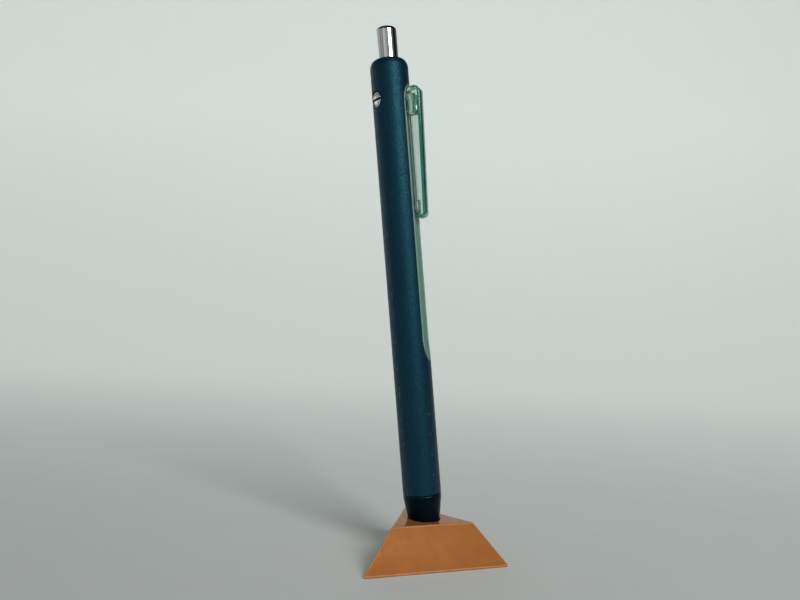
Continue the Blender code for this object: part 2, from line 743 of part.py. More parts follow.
def clip_hollow():
    """The inside of the channel, which goes round the boss and behind the pad at the lower end."""
    low = CLIP_HEAD - CLIP_LENGTH
    pad_top = low + PAD_FROM_END + PAD_LENGTH
    mouth = CLIP_STAND_OFF - CUT_OVER
    half = BOSS_LENGTH / 2
    heel, _, outer = clip_rounds()
    heel -= CLIP_END_WALL
    outer -= CLIP_BAND
    top = CLIP_HEAD - CLIP_END_WALL
    lower_back = CLIP_LOWER_PROUD - CLIP_BAND - outer
    upper_back = CLIP_UPPER_PROUD - CLIP_BAND - outer
    return [
        (mouth, pad_top),
        (CLIP_STAND_OFF + PAD_WALL, pad_top),
        (CLIP_STAND_OFF + PAD_WALL, low + CLIP_CURL),
        *arc(lower_back, low + CLIP_CURL + outer, outer, outer, 270, 360, FILLET_STEPS),
        *arc(upper_back, top - outer, outer, outer, 0, 90, FILLET_STEPS),
        *arc(CLIP_STAND_OFF + CLIP_END_WALL + heel, top - heel, heel, heel, 90, 180, FILLET_STEPS),
        (mouth, top - heel),
        (mouth, half),
        *arc(BOSS_PROUD - BOSS_ROUND, half - BOSS_ROUND, BOSS_ROUND, BOSS_ROUND, 90, 0, FILLET_STEPS),
        *arc(BOSS_PROUD - BOSS_ROUND, BOSS_ROUND - half, BOSS_ROUND, BOSS_ROUND, 0, -90, FILLET_STEPS),
        (mouth, -half),
    ]


def main():
    clear_scene()
    pen = make_pen_frame()
    make_holder(pen)
    make_barrel(pen)
    make_nose(pen)
    make_refill(pen)
    make_spring(pen)
    make_mechanism(pen)
    make_button(pen)
    make_side_screw(pen)
    make_clip(pen)


main()
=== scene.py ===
"""Dressed model of the desk pen stand: a printed three-sided holder and the push-button pen in it."""

import math

import bmesh
import bpy
from mathutils import Matrix, Vector


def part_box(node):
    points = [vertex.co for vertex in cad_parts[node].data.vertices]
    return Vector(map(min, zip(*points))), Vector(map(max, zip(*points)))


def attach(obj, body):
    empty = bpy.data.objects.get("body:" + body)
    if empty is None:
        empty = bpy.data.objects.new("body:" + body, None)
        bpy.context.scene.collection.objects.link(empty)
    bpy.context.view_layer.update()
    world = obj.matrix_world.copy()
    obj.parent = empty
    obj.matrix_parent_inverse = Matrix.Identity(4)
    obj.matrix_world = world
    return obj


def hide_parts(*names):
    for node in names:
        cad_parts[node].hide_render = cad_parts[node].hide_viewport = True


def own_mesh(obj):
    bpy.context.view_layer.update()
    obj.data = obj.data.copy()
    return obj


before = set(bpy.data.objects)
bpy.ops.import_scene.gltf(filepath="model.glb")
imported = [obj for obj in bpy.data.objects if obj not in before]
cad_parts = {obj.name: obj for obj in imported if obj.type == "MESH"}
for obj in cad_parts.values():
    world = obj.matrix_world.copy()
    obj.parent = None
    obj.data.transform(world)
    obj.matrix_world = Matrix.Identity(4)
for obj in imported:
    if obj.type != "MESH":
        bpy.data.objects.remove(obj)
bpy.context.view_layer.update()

MM = 0.001

# Modelling limits
SMOOTH_ANGLE = math.radians(32.0)
MERGE_DISTANCE = 0.001 * MM
CUT_OVER = 2.0 * MM
FACE_SLACK = 0.01 * MM

# How the pen stands, as in the solids
HOLDER_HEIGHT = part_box("holder_body")[1][2]
PEN_LEAN = math.radians(7.0)
LEAN_HEADING = math.radians(162.5)
CLIP_HEADING = math.radians(-38.7)
SCREW_HEADING = math.radians(-168.0)
TILT_AXIS = Vector((-math.sin(LEAN_HEADING), math.cos(LEAN_HEADING), 0.0))
PEN = Matrix.Translation((0.0, 0.0, HOLDER_HEIGHT)) @ Matrix.Rotation(PEN_LEAN, 4, TILT_AXIS)

# Holder
BASE_SIDE = 40.4 * MM
TOP_SIDE = 23.3 * MM
FOOT_HEIGHT = 0.7 * MM
HOLDER_ROUND = 0.35 * MM
SOCKET_RADIUS = 4.475 * MM
SOCKET_DEPTH = 9.6 * MM
SOCKET_STRAIGHT = 4.0 * MM
SOCKET_FLOOR_RADIUS = 2.8 * MM
SOCKET_STEPS = 96
SOCKET_RIM = 0.5 * MM
SAME_FACING = 0.99
LEVEL_FACING = -0.05

# Barrel
BARREL_RADIUS = 5.2 * MM
BARREL_LOW = 7.0 * MM
BARREL_TOP = 125.0 * MM
BORE_RADIUS = 3.3 * MM
BORE_TOP = 121.5 * MM
SPIGOT_SEAT_RADIUS = 3.9 * MM
SPIGOT_SEAT_TOP = 14.65 * MM
BUTTON_HOLE_RADIUS = 3.15 * MM
SHOULDER_HEIGHT = 2.6 * MM
SHOULDER_LAND = 0.10 * MM
PARTING_CHAMFER = 0.18 * MM

# Flat on the barrel, under the clip
FLAT_DISTANCE = 4.46 * MM
FLAT_LOW = 42.7 * MM
FLAT_HIGH = 117.7 * MM
FLAT_LOWER_RUN_OUT = 7.0 * MM
FLAT_UPPER_RUN_OUT = 5.1 * MM
FLAT_EDGE_ROUND = 0.07 * MM
FLAT_LEAST_COSINE = 0.2
FLAT_HALF_ANGLE = math.radians(36.0)
FLAT_INNER_SLACK = 0.05 * MM
FLAT_OUTER_SLACK = 0.015 * MM
FINE_HALF_ANGLE = math.radians(42.0)
FINE_STEPS = 112
COARSE_STEPS = 92

# Marks on the barrel, half angles in radians
SEAM_HEADING = math.radians(-160.0)
SEAM_HALF_ANGLE = 0.022
SEAM_MIDDLE = 50.0 * MM
SEAM_REACH = 43.0 * MM
DOT_HEADING = math.radians(-68.0)
DOT_HALF_ANGLE = 0.03
DOT_PITCH = 5.45 * MM
DOT_PLACE_IN_PITCH = 0.26
DOT_SHARE_OF_PITCH = 0.04
DOTS_MIDDLE = 20.5 * MM
DOTS_REACH = 10.0 * MM

# Nose cone
NOSE_TOP = 6.85 * MM
NOSE_COLLAR_LOW = 6.0 * MM
NOSE_WAIST_RADIUS = 4.275 * MM
NOSE_TIP = -6.6 * MM
NOSE_TIP_RADIUS = 2.1 * MM
NOSE_TIP_ROUND = 0.35 * MM
NOSE_STEPS = 128
COLLAR_EASE_ABOVE = 0.12 * MM
COLLAR_EASE_BELOW = 0.06 * MM
COLLAR_EASE_DEPTH = 0.02 * MM
GUIDE_BORE_RADIUS = 1.45 * MM
SPIGOT_TOP = 14.5 * MM
SPIGOT_RADIUS = 3.7 * MM
SPIGOT_BORE_RADIUS = 3.25 * MM
OGIVE_FULLNESS = 0.55
OGIVE_STEPS = 20

# Push button
BUTTON_RADIUS = 2.85 * MM
BUTTON_LOW = 122.3 * MM
BUTTON_TOP = 133.9 * MM
BUTTON_ROUND = 1.1 * MM
BUTTON_CHAMFER = 0.1 * MM
BUTTON_BORE_RADIUS = 1.8 * MM
BUTTON_BORE_TOP = 131.9 * MM
BUTTON_STEPS = 128

# Return spring
SPRING_LOW = 0.15 * MM
SPRING_HIGH = 15.55 * MM
WIRE_RADIUS = 0.25 * MM
WIRE_SIDES = 12
COIL_RADIUS = 2.3 * MM
COIL_TURNS = 7
COIL_STEPS_PER_TURN = 36

# Side screw
SCREW_S = 113.9 * MM
SCREW_CROWN = 4.95 * MM
SCREW_DOME = 0.28 * MM
SCREW_HEAD_RADIUS = 2.0 * MM
SCREW_CENTRE_RADIUS = 1.5 * MM
SCREW_GROOVE = 0.18 * MM
SCREW_GROOVE_DEPTH = 0.15 * MM
SCREW_HEAD_HEIGHT = 0.75 * MM
SCREW_SHANK_RADIUS = 1.0 * MM
SCREW_SHANK_END = 2.5 * MM
SCREW_STEPS = 64
SLOT_WIDTH = 0.65 * MM
SLOT_DEPTH = 0.55 * MM
SLOT_REACH = 3.0 * MM
COUNTERBORE_RADIUS = 2.3 * MM
COUNTERBORE_FLOOR = 3.77 * MM
SCREW_HOLE_RADIUS = 1.2 * MM
SCREW_HOLE_END = 1.0 * MM

# Clip: x from the flat, z from the middle of the boss
CLIP_PIVOT_S = 112.0 * MM
CLIP_HEAD = 4.8 * MM
CLIP_LENGTH = 35.6 * MM
CLIP_LOW = CLIP_HEAD - CLIP_LENGTH
CLIP_MIDDLE = CLIP_HEAD - CLIP_LENGTH / 2
CLIP_WIDTH = 3.0 * MM
CLIP_BAND = 0.95 * MM
CLIP_SIDE_WALL = 0.4 * MM
CLIP_END_WALL = 0.5 * MM
CLIP_CURL = 0.8 * MM
CLIP_STAND_OFF = 0.6 * MM
CLIP_UPPER_PROUD = 4.3 * MM
CLIP_LOWER_PROUD = 3.35 * MM
CLIP_OUTER_ROUND = 1.95 * MM
CLIP_HEEL_ROUND = 1.4 * MM
CLIP_TOE_ROUND = 0.6 * MM
CLIP_BACK_ROUND = 1.0 * MM
CLIP_EDGE_ROUND = 0.18 * MM
BOSS_LENGTH = 5.4 * MM
BOSS_PROUD = 2.75 * MM
BOSS_ROUND = 0.8 * MM
PAD_LENGTH = 3.2 * MM
PAD_FROM_END = 1.9 * MM
PAD_WALL = 0.5 * MM
PAD_TOP = CLIP_LOW + PAD_FROM_END + PAD_LENGTH
PAD_BACK = CLIP_STAND_OFF + PAD_WALL
TANG_LENGTH = 3.0 * MM
TANG_DEPTH = 0.6 * MM
RUN_GAP = 0.3 * MM
WINDOW_INSIDE = 2.4 * MM
WINDOW_OUTSIDE = 3.0 * MM

# Colours: pairs go from the darker to the lighter of a finish
COPPER = ((0.43, 0.148, 0.034), (0.475, 0.167, 0.04))
# Lighter copper for the holder's rounded edges and foot: a painted highlight
COPPER_EDGE_HIGHLIGHT = ((0.62, 0.28, 0.12), (0.72, 0.34, 0.15))
COPPER_GLOSS = (1.0, 0.7, 0.48, 1.0)
PETROL = ((0.0004, 0.008, 0.023), (0.001, 0.0155, 0.038))
PETROL_WORN = (0.09, 0.125, 0.115)
NAVY = ((0.001, 0.002, 0.005), (0.002, 0.004, 0.01))
NAVY_RING = ((0.001, 0.003, 0.007), (0.002, 0.006, 0.012))
SATIN_GLOSS = (0.2, 0.78, 1.0, 1.0)
# The flat's lighter green is partly its own tone and partly a painted reflection of the pale wall
FLAT_GREEN_AND_SHEEN = ((0.093, 0.222, 0.174), (0.146, 0.312, 0.247))
# Painted highlight along the flat's long edges
FLAT_EDGE_HIGHLIGHT = (0.3, 0.44, 0.38)
# Painted green light from the clear clip on the flat's far side
FLAT_PAINTED_CLIP_LIGHT = (0.2, 0.6, 0.42)
CLEAR_WEB = ((0.75, 0.83, 0.79), (0.8, 0.87, 0.835))
CLEAR_RIM = ((0.025, 0.2, 0.145), (0.05, 0.3, 0.22))
CLEAR_BOSS = ((0.004, 0.1, 0.07), (0.5, 0.72, 0.64))
BUTTON_CHROME = (0.95, 0.96, 0.97)
SCREW_CHROME = (0.95, 0.96, 0.96)
# Dark metal in the screw's slot and groove: painted shade
SLOT_SHADE = (0.05, 0.055, 0.055)
SPRING_STEEL = (0.54, 0.54, 0.56)
STAGE_PALE = ((0.70, 0.74, 0.72), (0.72, 0.76, 0.74))
STAGE_GLOW = (0.93, 1.0, 0.96, 1.0)
ROOM_TINT = (0.95, 1.0, 0.98)
BACKDROP = (0.638, 0.686, 0.658, 1.0)

# Surface detail: how coordinates are stretched for tool marks, flow lines and flecks
EVEN = (1.0, 1.0, 1.0)
TURNED_MARKS = (1.0, 1.0, 12.0)
DRAWN_MARKS = (1.0, 1.0, 0.08)
POLISH_MARKS = (1.0, 1.0, 0.05)
CUTTER_MARKS = (1.0, 1.0, 0.03)
MOULD_FLOW = (1.0, 1.0, 0.25)
CLIP_FLOW = (1.0, 1.0, 0.15)
SEAM_FLECKS = (0.1, 0.1, 1.0)
NOISE_RANGE = (0.3, 0.7)

# Where and how far finishes and painted light change
TOP_FACING = 0.85
FLECK_LEVEL = 0.56
FLAT_EDGE_TURN = (math.radians(17.0), math.radians(25.0))
FLAT_CLIP_TURN = (math.radians(2.0), math.radians(12.0))
PRINT_GRAIN = 0.6
SATIN_GRAIN = 4.0
METAL_DIM = 0.88
PLASTIC_DIM = 0.8
CLIP_IOR = 1.49

# Camera
CAMERA_PLACE = (-0.07764, -0.18973, 0.06923)
CAMERA_HEADING = math.radians(19.69)
CAMERA_RISE = math.radians(0.23)
CAMERA_ROLL = math.radians(2.55)
CAMERA_LENS = 33.75
CAMERA_SENSOR = 36.0

# Stage: a floor that bends up into a backdrop, in metres; each glow is a range and its levels
SWEEP_REACH = 3.0
SWEEP_RIGHT = 0.72
SWEEP_BEND_START = 0.55
SWEEP_BEND_RADIUS = 0.35
SWEEP_TOP = 0.6
GLOW_BACK = ((-0.15, 0.45), (0.04, 0.37))
GLOW_FAR = ((0.45, 1.6), (0.0, 0.45))

# Light: the room's fade upwards, its level at headings in degrees, and a soft key light
ROOM_FADE = ((0.42, 0.68), (1.0, 0.06))
ROOM_LEVELS = (
    (-180, 0.2),
    (-171, 0.29),
    (-158, 0.16),
    (-147, 0.48),
    (-135, 0.45),
    (-124, 0.33),
    (-113, 0.24),
    (-70, 0.26),
    (-56, 0.2),
    (-43, 0.12),
    (-34, 0.01),
    (-14, 0.004),
    (-4, 0.03),
    (4, 0.06),
    (26, 0.1),
    (70, 0.32),
    (122, 0.37),
    (160, 0.34),
    (174, 0.18),
)
KEY_TARGET = Vector((0.0, 0.0, 0.07))
KEY_HEADING = math.radians(-79.0)
KEY_RISE = math.radians(31.0)
KEY_DISTANCE = 0.9
KEY_SIZE = (0.36, 0.4)
KEY_POWER = 4.4


def set_inputs(made, values):
    """Set a node's inputs; an underscore in a key stands for a space."""
    for key, value in values.items():
        made.inputs[key.replace("_", " ")].default_value = value


def new_material(name, **values):
    """A Principled material with some inputs set, and its node tree and shader."""
    surface = bpy.data.materials.new(name)
    surface.use_nodes = True
    tree = surface.node_tree
    shader = tree.nodes["Principled BSDF"]
    set_inputs(shader, values)
    return surface, tree, shader


def node(tree, kind, **settings):
    """A node with its properties and its unlinked inputs set."""
    made = tree.nodes.new(kind)
    for key, value in settings.items():
        if hasattr(made, key):
            setattr(made, key, value)
        else:
            set_inputs(made, {key: value})
    return made


def object_point(tree, scale=EVEN):
    """The object's own coordinates, stretched."""
    where = node(tree, "ShaderNodeTexCoord")
    mapping = node(tree, "ShaderNodeMapping", Scale=scale)
    tree.links.new(where.outputs["Object"], mapping.inputs["Vector"])
    return mapping.outputs["Vector"]


def noise(tree, point, scale, detail=2.0, roughness=0.5):
    """Fractal noise over a set of coordinates."""
    made = node(tree, "ShaderNodeTexNoise", Scale=scale, Detail=detail, Roughness=roughness)
    tree.links.new(point, made.inputs["Vector"])
    return made.outputs["Fac"]


def wave(tree, point, direction, **settings):
    """Even bands along a direction."""
    made = node(tree, "ShaderNodeTexWave", wave_type="BANDS", bands_direction=direction, **settings)
    tree.links.new(point, made.inputs["Vector"])
    return made.outputs["Fac"]


def split_axes(tree, vector):
    """The X, Y and Z of a vector."""
    made = node(tree, "ShaderNodeSeparateXYZ")
    tree.links.new(vector, made.inputs["Vector"])
    return made.outputs["X"], made.outputs["Y"], made.outputs["Z"]


def ramp(tree, factor, stops):
    """A colour ramp; each stop is a position and a colour."""
    made = node(tree, "ShaderNodeValToRGB")
    band = made.color_ramp
    while len(band.elements) < len(stops):
        band.elements.new(1.0)
    for element, (place, colour) in zip(band.elements, stops):
        element.position = place
        element.color = (*colour, 1.0)
    tree.links.new(factor, made.inputs["Fac"])
    return made.outputs["Color"]


def shade(tree, factor, colours, reach=NOISE_RANGE):
    """A colour between two, as a value goes over its reach."""
    return ramp(tree, factor, list(zip(reach, colours)))


def map_range(tree, value, source, target=(0.0, 1.0), kind="SMOOTHSTEP"):
    """A value mapped from one range to another."""
    made = node(tree, "ShaderNodeMapRange", interpolation_type=kind)
    set_inputs(made, {"From_Min": source[0], "From_Max": source[1]})
    set_inputs(made, {"To_Min": target[0], "To_Max": target[1]})
    tree.links.new(value, made.inputs["Value"])
    return made.outputs["Result"]


def spread(tree, factor, target):
    """Noise mapped from its usual range to a range of values."""
    return map_range(tree, factor, NOISE_RANGE, target, "LINEAR")


def bump(tree, shader, height, distance, strength):
    """Fine relief on the shader's normal."""
    made = node(tree, "ShaderNodeBump", Strength=strength, Distance=distance)
    tree.links.new(height, made.inputs["Height"])
    tree.links.new(made.outputs["Normal"], shader.inputs["Normal"])


def math_node(tree, operation, first, second=0.0):
    """One arithmetic step; each side is a socket or a number."""
    made = node(tree, "ShaderNodeMath", operation=operation)
    for index, value in enumerate((first, second)):
        if isinstance(value, float):
            made.inputs[index].default_value = value
        else:
            tree.links.new(value, made.inputs[index])
    return made.outputs["Value"]


def product(tree, first, *others):
    """Several values multiplied together."""
    for other in others:
        first = math_node(tree, "MULTIPLY", first, other)
    return first


def weighted(tree, first, second, share):
    """A share of one value and the rest of another."""
    kept = math_node(tree, "MULTIPLY", first, share)
    return math_node(tree, "ADD", kept, math_node(tree, "MULTIPLY", second, 1.0 - share))


def mix_value(tree, factor, first, second):
    """A value between two others."""
    made = node(tree, "ShaderNodeMix")
    for name, socket in (("Factor", factor), ("A", first), ("B", second)):
        tree.links.new(socket, made.inputs[name])
    return made.outputs["Result"]


def mix_colour(tree, factor, first, second):
    """A colour between a socket's colour and an even one."""
    made = node(tree, "ShaderNodeMix", data_type="RGBA")
    from_socket, to_socket = [socket for socket in made.inputs if socket.type == "RGBA"]
    tree.links.new(factor, made.inputs["Factor"])
    tree.links.new(first, from_socket)
    to_socket.default_value = (*second, 1.0)
    return next(socket for socket in made.outputs if socket.type == "RGBA")


def near(tree, value, middle, reach):
    """1 where a value lies within reach of a middle, else 0."""
    away = math_node(tree, "ABSOLUTE", math_node(tree, "SUBTRACT", value, middle))
    return math_node(tree, "LESS_THAN", away, reach)


def place_on_pen(tree):
    """A point's heading about the pen's axis and its height along it."""
    x, y, z = split_axes(tree, object_point(tree))
    return math_node(tree, "ARCTAN2", y, x), z


def copper_print(name, colours):
    """Silky copper filament, laid in layers, with raster lines and more gloss on the top face."""
    surface, tree, shader = new_material(
        name, Metallic=0.15, Specular_IOR_Level=0.3, Specular_Tint=COPPER_GLOSS
    )
    point = object_point(tree)
    cloud = noise(tree, point, scale=260.0, detail=3.0)
    tree.links.new(shade(tree, cloud, colours), shader.inputs["Base Color"])
    layers = wave(tree, point, "Z", Scale=1570.0, Distortion=0.35, Detail_Scale=0.4)
    raster = wave(tree, point, "DIAGONAL", Scale=620.0)
    geometry = node(tree, "ShaderNodeNewGeometry")
    upward = split_axes(tree, geometry.outputs["Normal"])[2]
    on_top = math_node(tree, "GREATER_THAN", upward, TOP_FACING)
    lines = mix_value(tree, on_top, layers, raster)
    rough = math_node(tree, "MULTIPLY", noise(tree, point, scale=2600.0), PRINT_GRAIN)
    bump(tree, shader, math_node(tree, "ADD", lines, rough), distance=0.01 * MM, strength=0.22)
    uneven = noise(tree, point, scale=900.0)
    gloss = mix_value(tree, on_top, spread(tree, uneven, (0.5, 0.6)), spread(tree, uneven, (0.09, 0.16)))
    tree.links.new(gloss, shader.inputs["Roughness"])
    return surface


def worn_marks(tree):
    """Flecks along the moulding seam, and a short row of dots below the flat."""
    turn, height = place_on_pen(tree)
    flecks = noise(tree, object_point(tree, SEAM_FLECKS), scale=650.0, detail=3.0, roughness=0.7)
    seam = product(
        tree,
        near(tree, turn, SEAM_HEADING, SEAM_HALF_ANGLE),
        math_node(tree, "GREATER_THAN", flecks, FLECK_LEVEL),
        near(tree, height, SEAM_MIDDLE, SEAM_REACH),
    )
    step = math_node(tree, "FRACT", math_node(tree, "DIVIDE", height, DOT_PITCH))
    dots = product(
        tree,
        near(tree, step, DOT_PLACE_IN_PITCH, DOT_SHARE_OF_PITCH),
        near(tree, turn, DOT_HEADING, DOT_HALF_ANGLE),
        near(tree, height, DOTS_MIDDLE, DOTS_REACH),
    )
    return math_node(tree, "MAXIMUM", seam, dots)


def satin_coat(name, colours, rough, gloss, worn=False):
    """Satin rubber-like coat with a fine grain and faint speckle."""
    surface, tree, shader = new_material(name, Specular_IOR_Level=gloss, Specular_Tint=SATIN_GLOSS)
    point = object_point(tree)
    cloud = noise(tree, point, scale=180.0, detail=4.0, roughness=0.6)
    speck = noise(tree, point, scale=2400.0, roughness=0.6)
    colour = shade(tree, weighted(tree, cloud, speck, share=0.55), colours, reach=(0.34, 0.66))
    if worn:
        colour = mix_colour(tree, worn_marks(tree), colour, PETROL_WORN)
    tree.links.new(colour, shader.inputs["Base Color"])
    uneven = noise(tree, point, scale=700.0, detail=3.0)
    tree.links.new(spread(tree, uneven, rough), shader.inputs["Roughness"])
    fine = noise(tree, point, scale=4200.0, roughness=0.6)
    grain = math_node(tree, "MULTIPLY", noise(tree, point, scale=1500.0, roughness=0.7), SATIN_GRAIN)
    bump(tree, shader, math_node(tree, "ADD", fine, grain), distance=0.04 * MM, strength=0.8)
    return surface


def milled_flat():
    """The flat's finish: cutter lines on a green that is partly a painted reflection, a painted highlight
    on its edges, and painted green light from the clip on its far side.
    """
    surface, tree, shader = new_material("flat_satin_with_painted_light", Specular_IOR_Level=0.2)
    line = noise(tree, object_point(tree, CUTTER_MARKS), scale=1500.0, detail=3.0, roughness=0.6)
    cloud = noise(tree, object_point(tree), scale=220.0, detail=3.0)
    # The green is partly the flat's own tone and partly a painted reflection of the pale wall
    colour = shade(tree, weighted(tree, line, cloud, share=0.6), FLAT_GREEN_AND_SHEEN, reach=(0.36, 0.64))
    turn, height = place_on_pen(tree)
    side = math_node(tree, "SUBTRACT", turn, CLIP_HEADING)
    aside = math_node(tree, "ABSOLUTE", side)
    # The flat's long edges are painted paler: a painted highlight
    edge = map_range(tree, aside, FLAT_EDGE_TURN)
    colour = mix_colour(tree, edge, colour, FLAT_EDGE_HIGHLIGHT)
    # Painted light: green light as if falling through the clear clip, on the flat's far side under the
    # clip
    behind = map_range(tree, side, FLAT_CLIP_TURN)
    covered = near(tree, height, CLIP_PIVOT_S + CLIP_MIDDLE, CLIP_LENGTH / 2)
    colour = mix_colour(tree, product(tree, covered, behind), colour, FLAT_PAINTED_CLIP_LIGHT)
    tree.links.new(colour, shader.inputs["Base Color"])
    tree.links.new(spread(tree, line, (0.42, 0.58)), shader.inputs["Roughness"])
    bump(tree, shader, line, distance=0.015 * MM, strength=0.4)
    return surface


def dimmed(colour, share):
    """A colour with every channel at a share of its level."""
    return tuple(channel * share for channel in colour)


def bright_metal(name, colour, rough, marks, depth):
    """Bare or plated metal with fine tool marks along or around the pen."""
    surface, tree, shader = new_material(name, Metallic=1.0)
    fine = noise(tree, object_point(tree, marks), scale=900.0, detail=3.0)
    cloud = noise(tree, object_point(tree), scale=300.0)
    tree.links.new(shade(tree, cloud, (dimmed(colour, METAL_DIM), colour)), shader.inputs["Base Color"])
    tree.links.new(spread(tree, fine, rough), shader.inputs["Roughness"])
    bump(tree, shader, fine, distance=depth, strength=0.4)
    return surface


def moulded(name, colour, rough):
    """Injection-moulded plastic with a faint flow pattern and a fine texture."""
    surface, tree, shader = new_material(name)
    flow = noise(tree, object_point(tree, MOULD_FLOW), scale=320.0, detail=3.0)
    fine = noise(tree, object_point(tree), scale=2200.0)
    tree.links.new(shade(tree, flow, (dimmed(colour, PLASTIC_DIM), colour)), shader.inputs["Base Color"])
    tree.links.new(spread(tree, fine, rough), shader.inputs["Roughness"])
    bump(tree, shader, fine, distance=0.012 * MM, strength=0.5)
    return surface


def clear_plastic(name, colours, rough_high=0.05, clearness=1.0, fineness=420.0):
    """Clear tinted plastic with flow lines along the pen."""
    surface, tree, shader = new_material(name, Transmission_Weight=clearness, IOR=CLIP_IOR)
    flow = noise(tree, object_point(tree, CLIP_FLOW), scale=fineness)
    tree.links.new(shade(tree, flow, colours, reach=(0.4, 0.6)), shader.inputs["Base Color"])
    tree.links.new(spread(tree, flow, (0.01, rough_high)), shader.inputs["Roughness"])
    bump(tree, shader, flow, distance=0.01 * MM, strength=0.25)
    return surface


def oval(centre, size, start, end, steps):
    """Points on an ellipse in a plane, angles in degrees."""
    points = []
    for index in range(steps + 1):
        angle = math.radians(start + (end - start) * index / steps)
        points.append((centre[0] + size[0] * math.cos(angle), centre[1] + size[1] * math.sin(angle)))
    return points


def arc(centre, radius, start, end, steps):
    """Points on a circle in a plane, angles in degrees."""
    return oval(centre, (radius, radius), start, end, steps)


def steps_between(start, end, count):
    """Evenly spaced values after start, up to end."""
    return [start + (end - start) * (index + 1) / count for index in range(count)]


def bridge(bm, rings):
    """Join closed rings of points, each to the next, with four-sided faces."""
    for lower, upper in zip(rings, rings[1:]):
        for index in range(len(lower)):
            bm.faces.new((lower[index - 1], lower[index], upper[index], upper[index - 1]))


def grid_ring(rows, angles, point_at):
    """A closed ring: rows joined in order and to the first, each swept round the angles."""
    bm = bmesh.new()
    made = []
    for row in rows:
        made.append([bm.verts.new(point_at(row, angle)) for angle in angles])
    for upper, lower in zip(made, made[1:] + made[:1]):
        for index in range(len(angles)):
            following = (index + 1) % len(angles)
            bm.faces.new((upper[index], lower[index], lower[following], upper[following]))
    return bm


def turned(outline, steps, closed=False):
    """Spin an (r, s) outline about the axis."""
    bm = bmesh.new()
    points = [bm.verts.new((radius, 0.0, height)) for radius, height in outline]
    edges = [bm.edges.new(pair) for pair in zip(points, points[1:])]
    if closed:
        edges.append(bm.edges.new((points[-1], points[0])))
    bmesh.ops.spin(
        bm,
        geom=points + edges,
        cent=(0.0, 0.0, 0.0),
        axis=(0.0, 0.0, 1.0),
        angle=2 * math.pi,
        steps=steps,
        use_duplicate=False,
    )
    bmesh.ops.remove_doubles(bm, verts=bm.verts, dist=MERGE_DISTANCE)
    return bm


def prism(outline, width):
    """Extrude an (x, z) outline to both sides of the plane y = 0."""
    bm = bmesh.new()
    face = bm.faces.new([bm.verts.new((x, -width / 2, z)) for x, z in outline])
    grown = bmesh.ops.extrude_face_region(bm, geom=[face])
    moved = [item for item in grown["geom"] if isinstance(item, bmesh.types.BMVert)]
    bmesh.ops.translate(bm, verts=moved, vec=(0.0, width, 0.0))
    return bm


def block(low, high):
    """A box between two corners."""
    bm = bmesh.new()
    bmesh.ops.create_cube(bm, size=1.0)
    bmesh.ops.scale(bm, vec=Vector(high) - Vector(low), verts=bm.verts)
    bmesh.ops.translate(bm, vec=(Vector(high) + Vector(low)) / 2, verts=bm.verts)
    return bm


def link_to_scene(name, data):
    """A new object in the scene."""
    made = bpy.data.objects.new(name, data)
    bpy.context.scene.collection.objects.link(made)
    return made


def add_mesh(name, bm, place):
    """Turn a bmesh into an object at a place in the part's frame."""
    bmesh.ops.recalc_face_normals(bm, faces=bm.faces)
    mesh = bpy.data.meshes.new(name)
    bm.to_mesh(mesh)
    bm.free()
    piece = link_to_scene(name, mesh)
    piece.matrix_world = place
    return piece


def round_edges(piece, width, segments):
    """Round the sharp edges of a piece."""
    change = piece.modifiers.new("round_edges", "BEVEL")
    change.width = width
    change.segments = segments
    change.limit_method = "ANGLE"
    change.angle_limit = SMOOTH_ANGLE


def settle(piece, tools=()):
    """Cut the tools out of a piece, apply its modifiers, drop the tools and shade it smooth."""
    for tool in tools:
        change = piece.modifiers.new("cut", "BOOLEAN")
        change.operation = "DIFFERENCE"
        change.solver = "EXACT"
        change.object = tool
    bpy.context.view_layer.update()
    graph = bpy.context.evaluated_depsgraph_get()
    mesh = bpy.data.meshes.new_from_object(piece.evaluated_get(graph))
    piece.modifiers.clear()
    piece.data = mesh
    for tool in tools:
        bpy.data.objects.remove(tool, do_unlink=True)
    mesh.shade_smooth()
    mesh.set_sharp_from_angle(angle=SMOOTH_ANGLE)


def dress(piece, surface, body, slot, *nodes):
    """Give a finished piece its material, its body and the nodes it stands for."""
    piece.data.materials.clear()
    piece.data.materials.append(surface)
    if nodes:
        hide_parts(*nodes)
    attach(piece, body)


def paint(piece, surface, test):
    """Give the faces that pass a test another material."""
    index = len(piece.data.materials)
    piece.data.materials.append(surface)
    for face in piece.data.polygons:
        if test(face.center, face.normal):
            face.material_index = index


def about_axis(heading):
    """The pen's frame turned so that +X looks along a heading."""
    return PEN @ Matrix.Rotation(heading, 4, "Z")


def screw_place():
    """The side screw's frame: +Z points out of the barrel."""
    beside = about_axis(SCREW_HEADING) @ Matrix.Translation((0.0, 0.0, SCREW_S))
    return beside @ Matrix.Rotation(math.pi / 2, 4, "Y")


def clip_place():
    """The clip's frame: on the flat, +X away from the barrel."""
    return about_axis(CLIP_HEADING) @ Matrix.Translation((FLAT_DISTANCE, 0.0, CLIP_PIVOT_S))


def triangle(side, height):
    """Corners of a level triangle with one side facing -Y."""
    radius = side / math.sqrt(3)
    corners = []
    for degrees in (90, 210, 330):
        angle = math.radians(degrees)
        corners.append((radius * math.cos(angle), radius * math.sin(angle), height))
    return corners


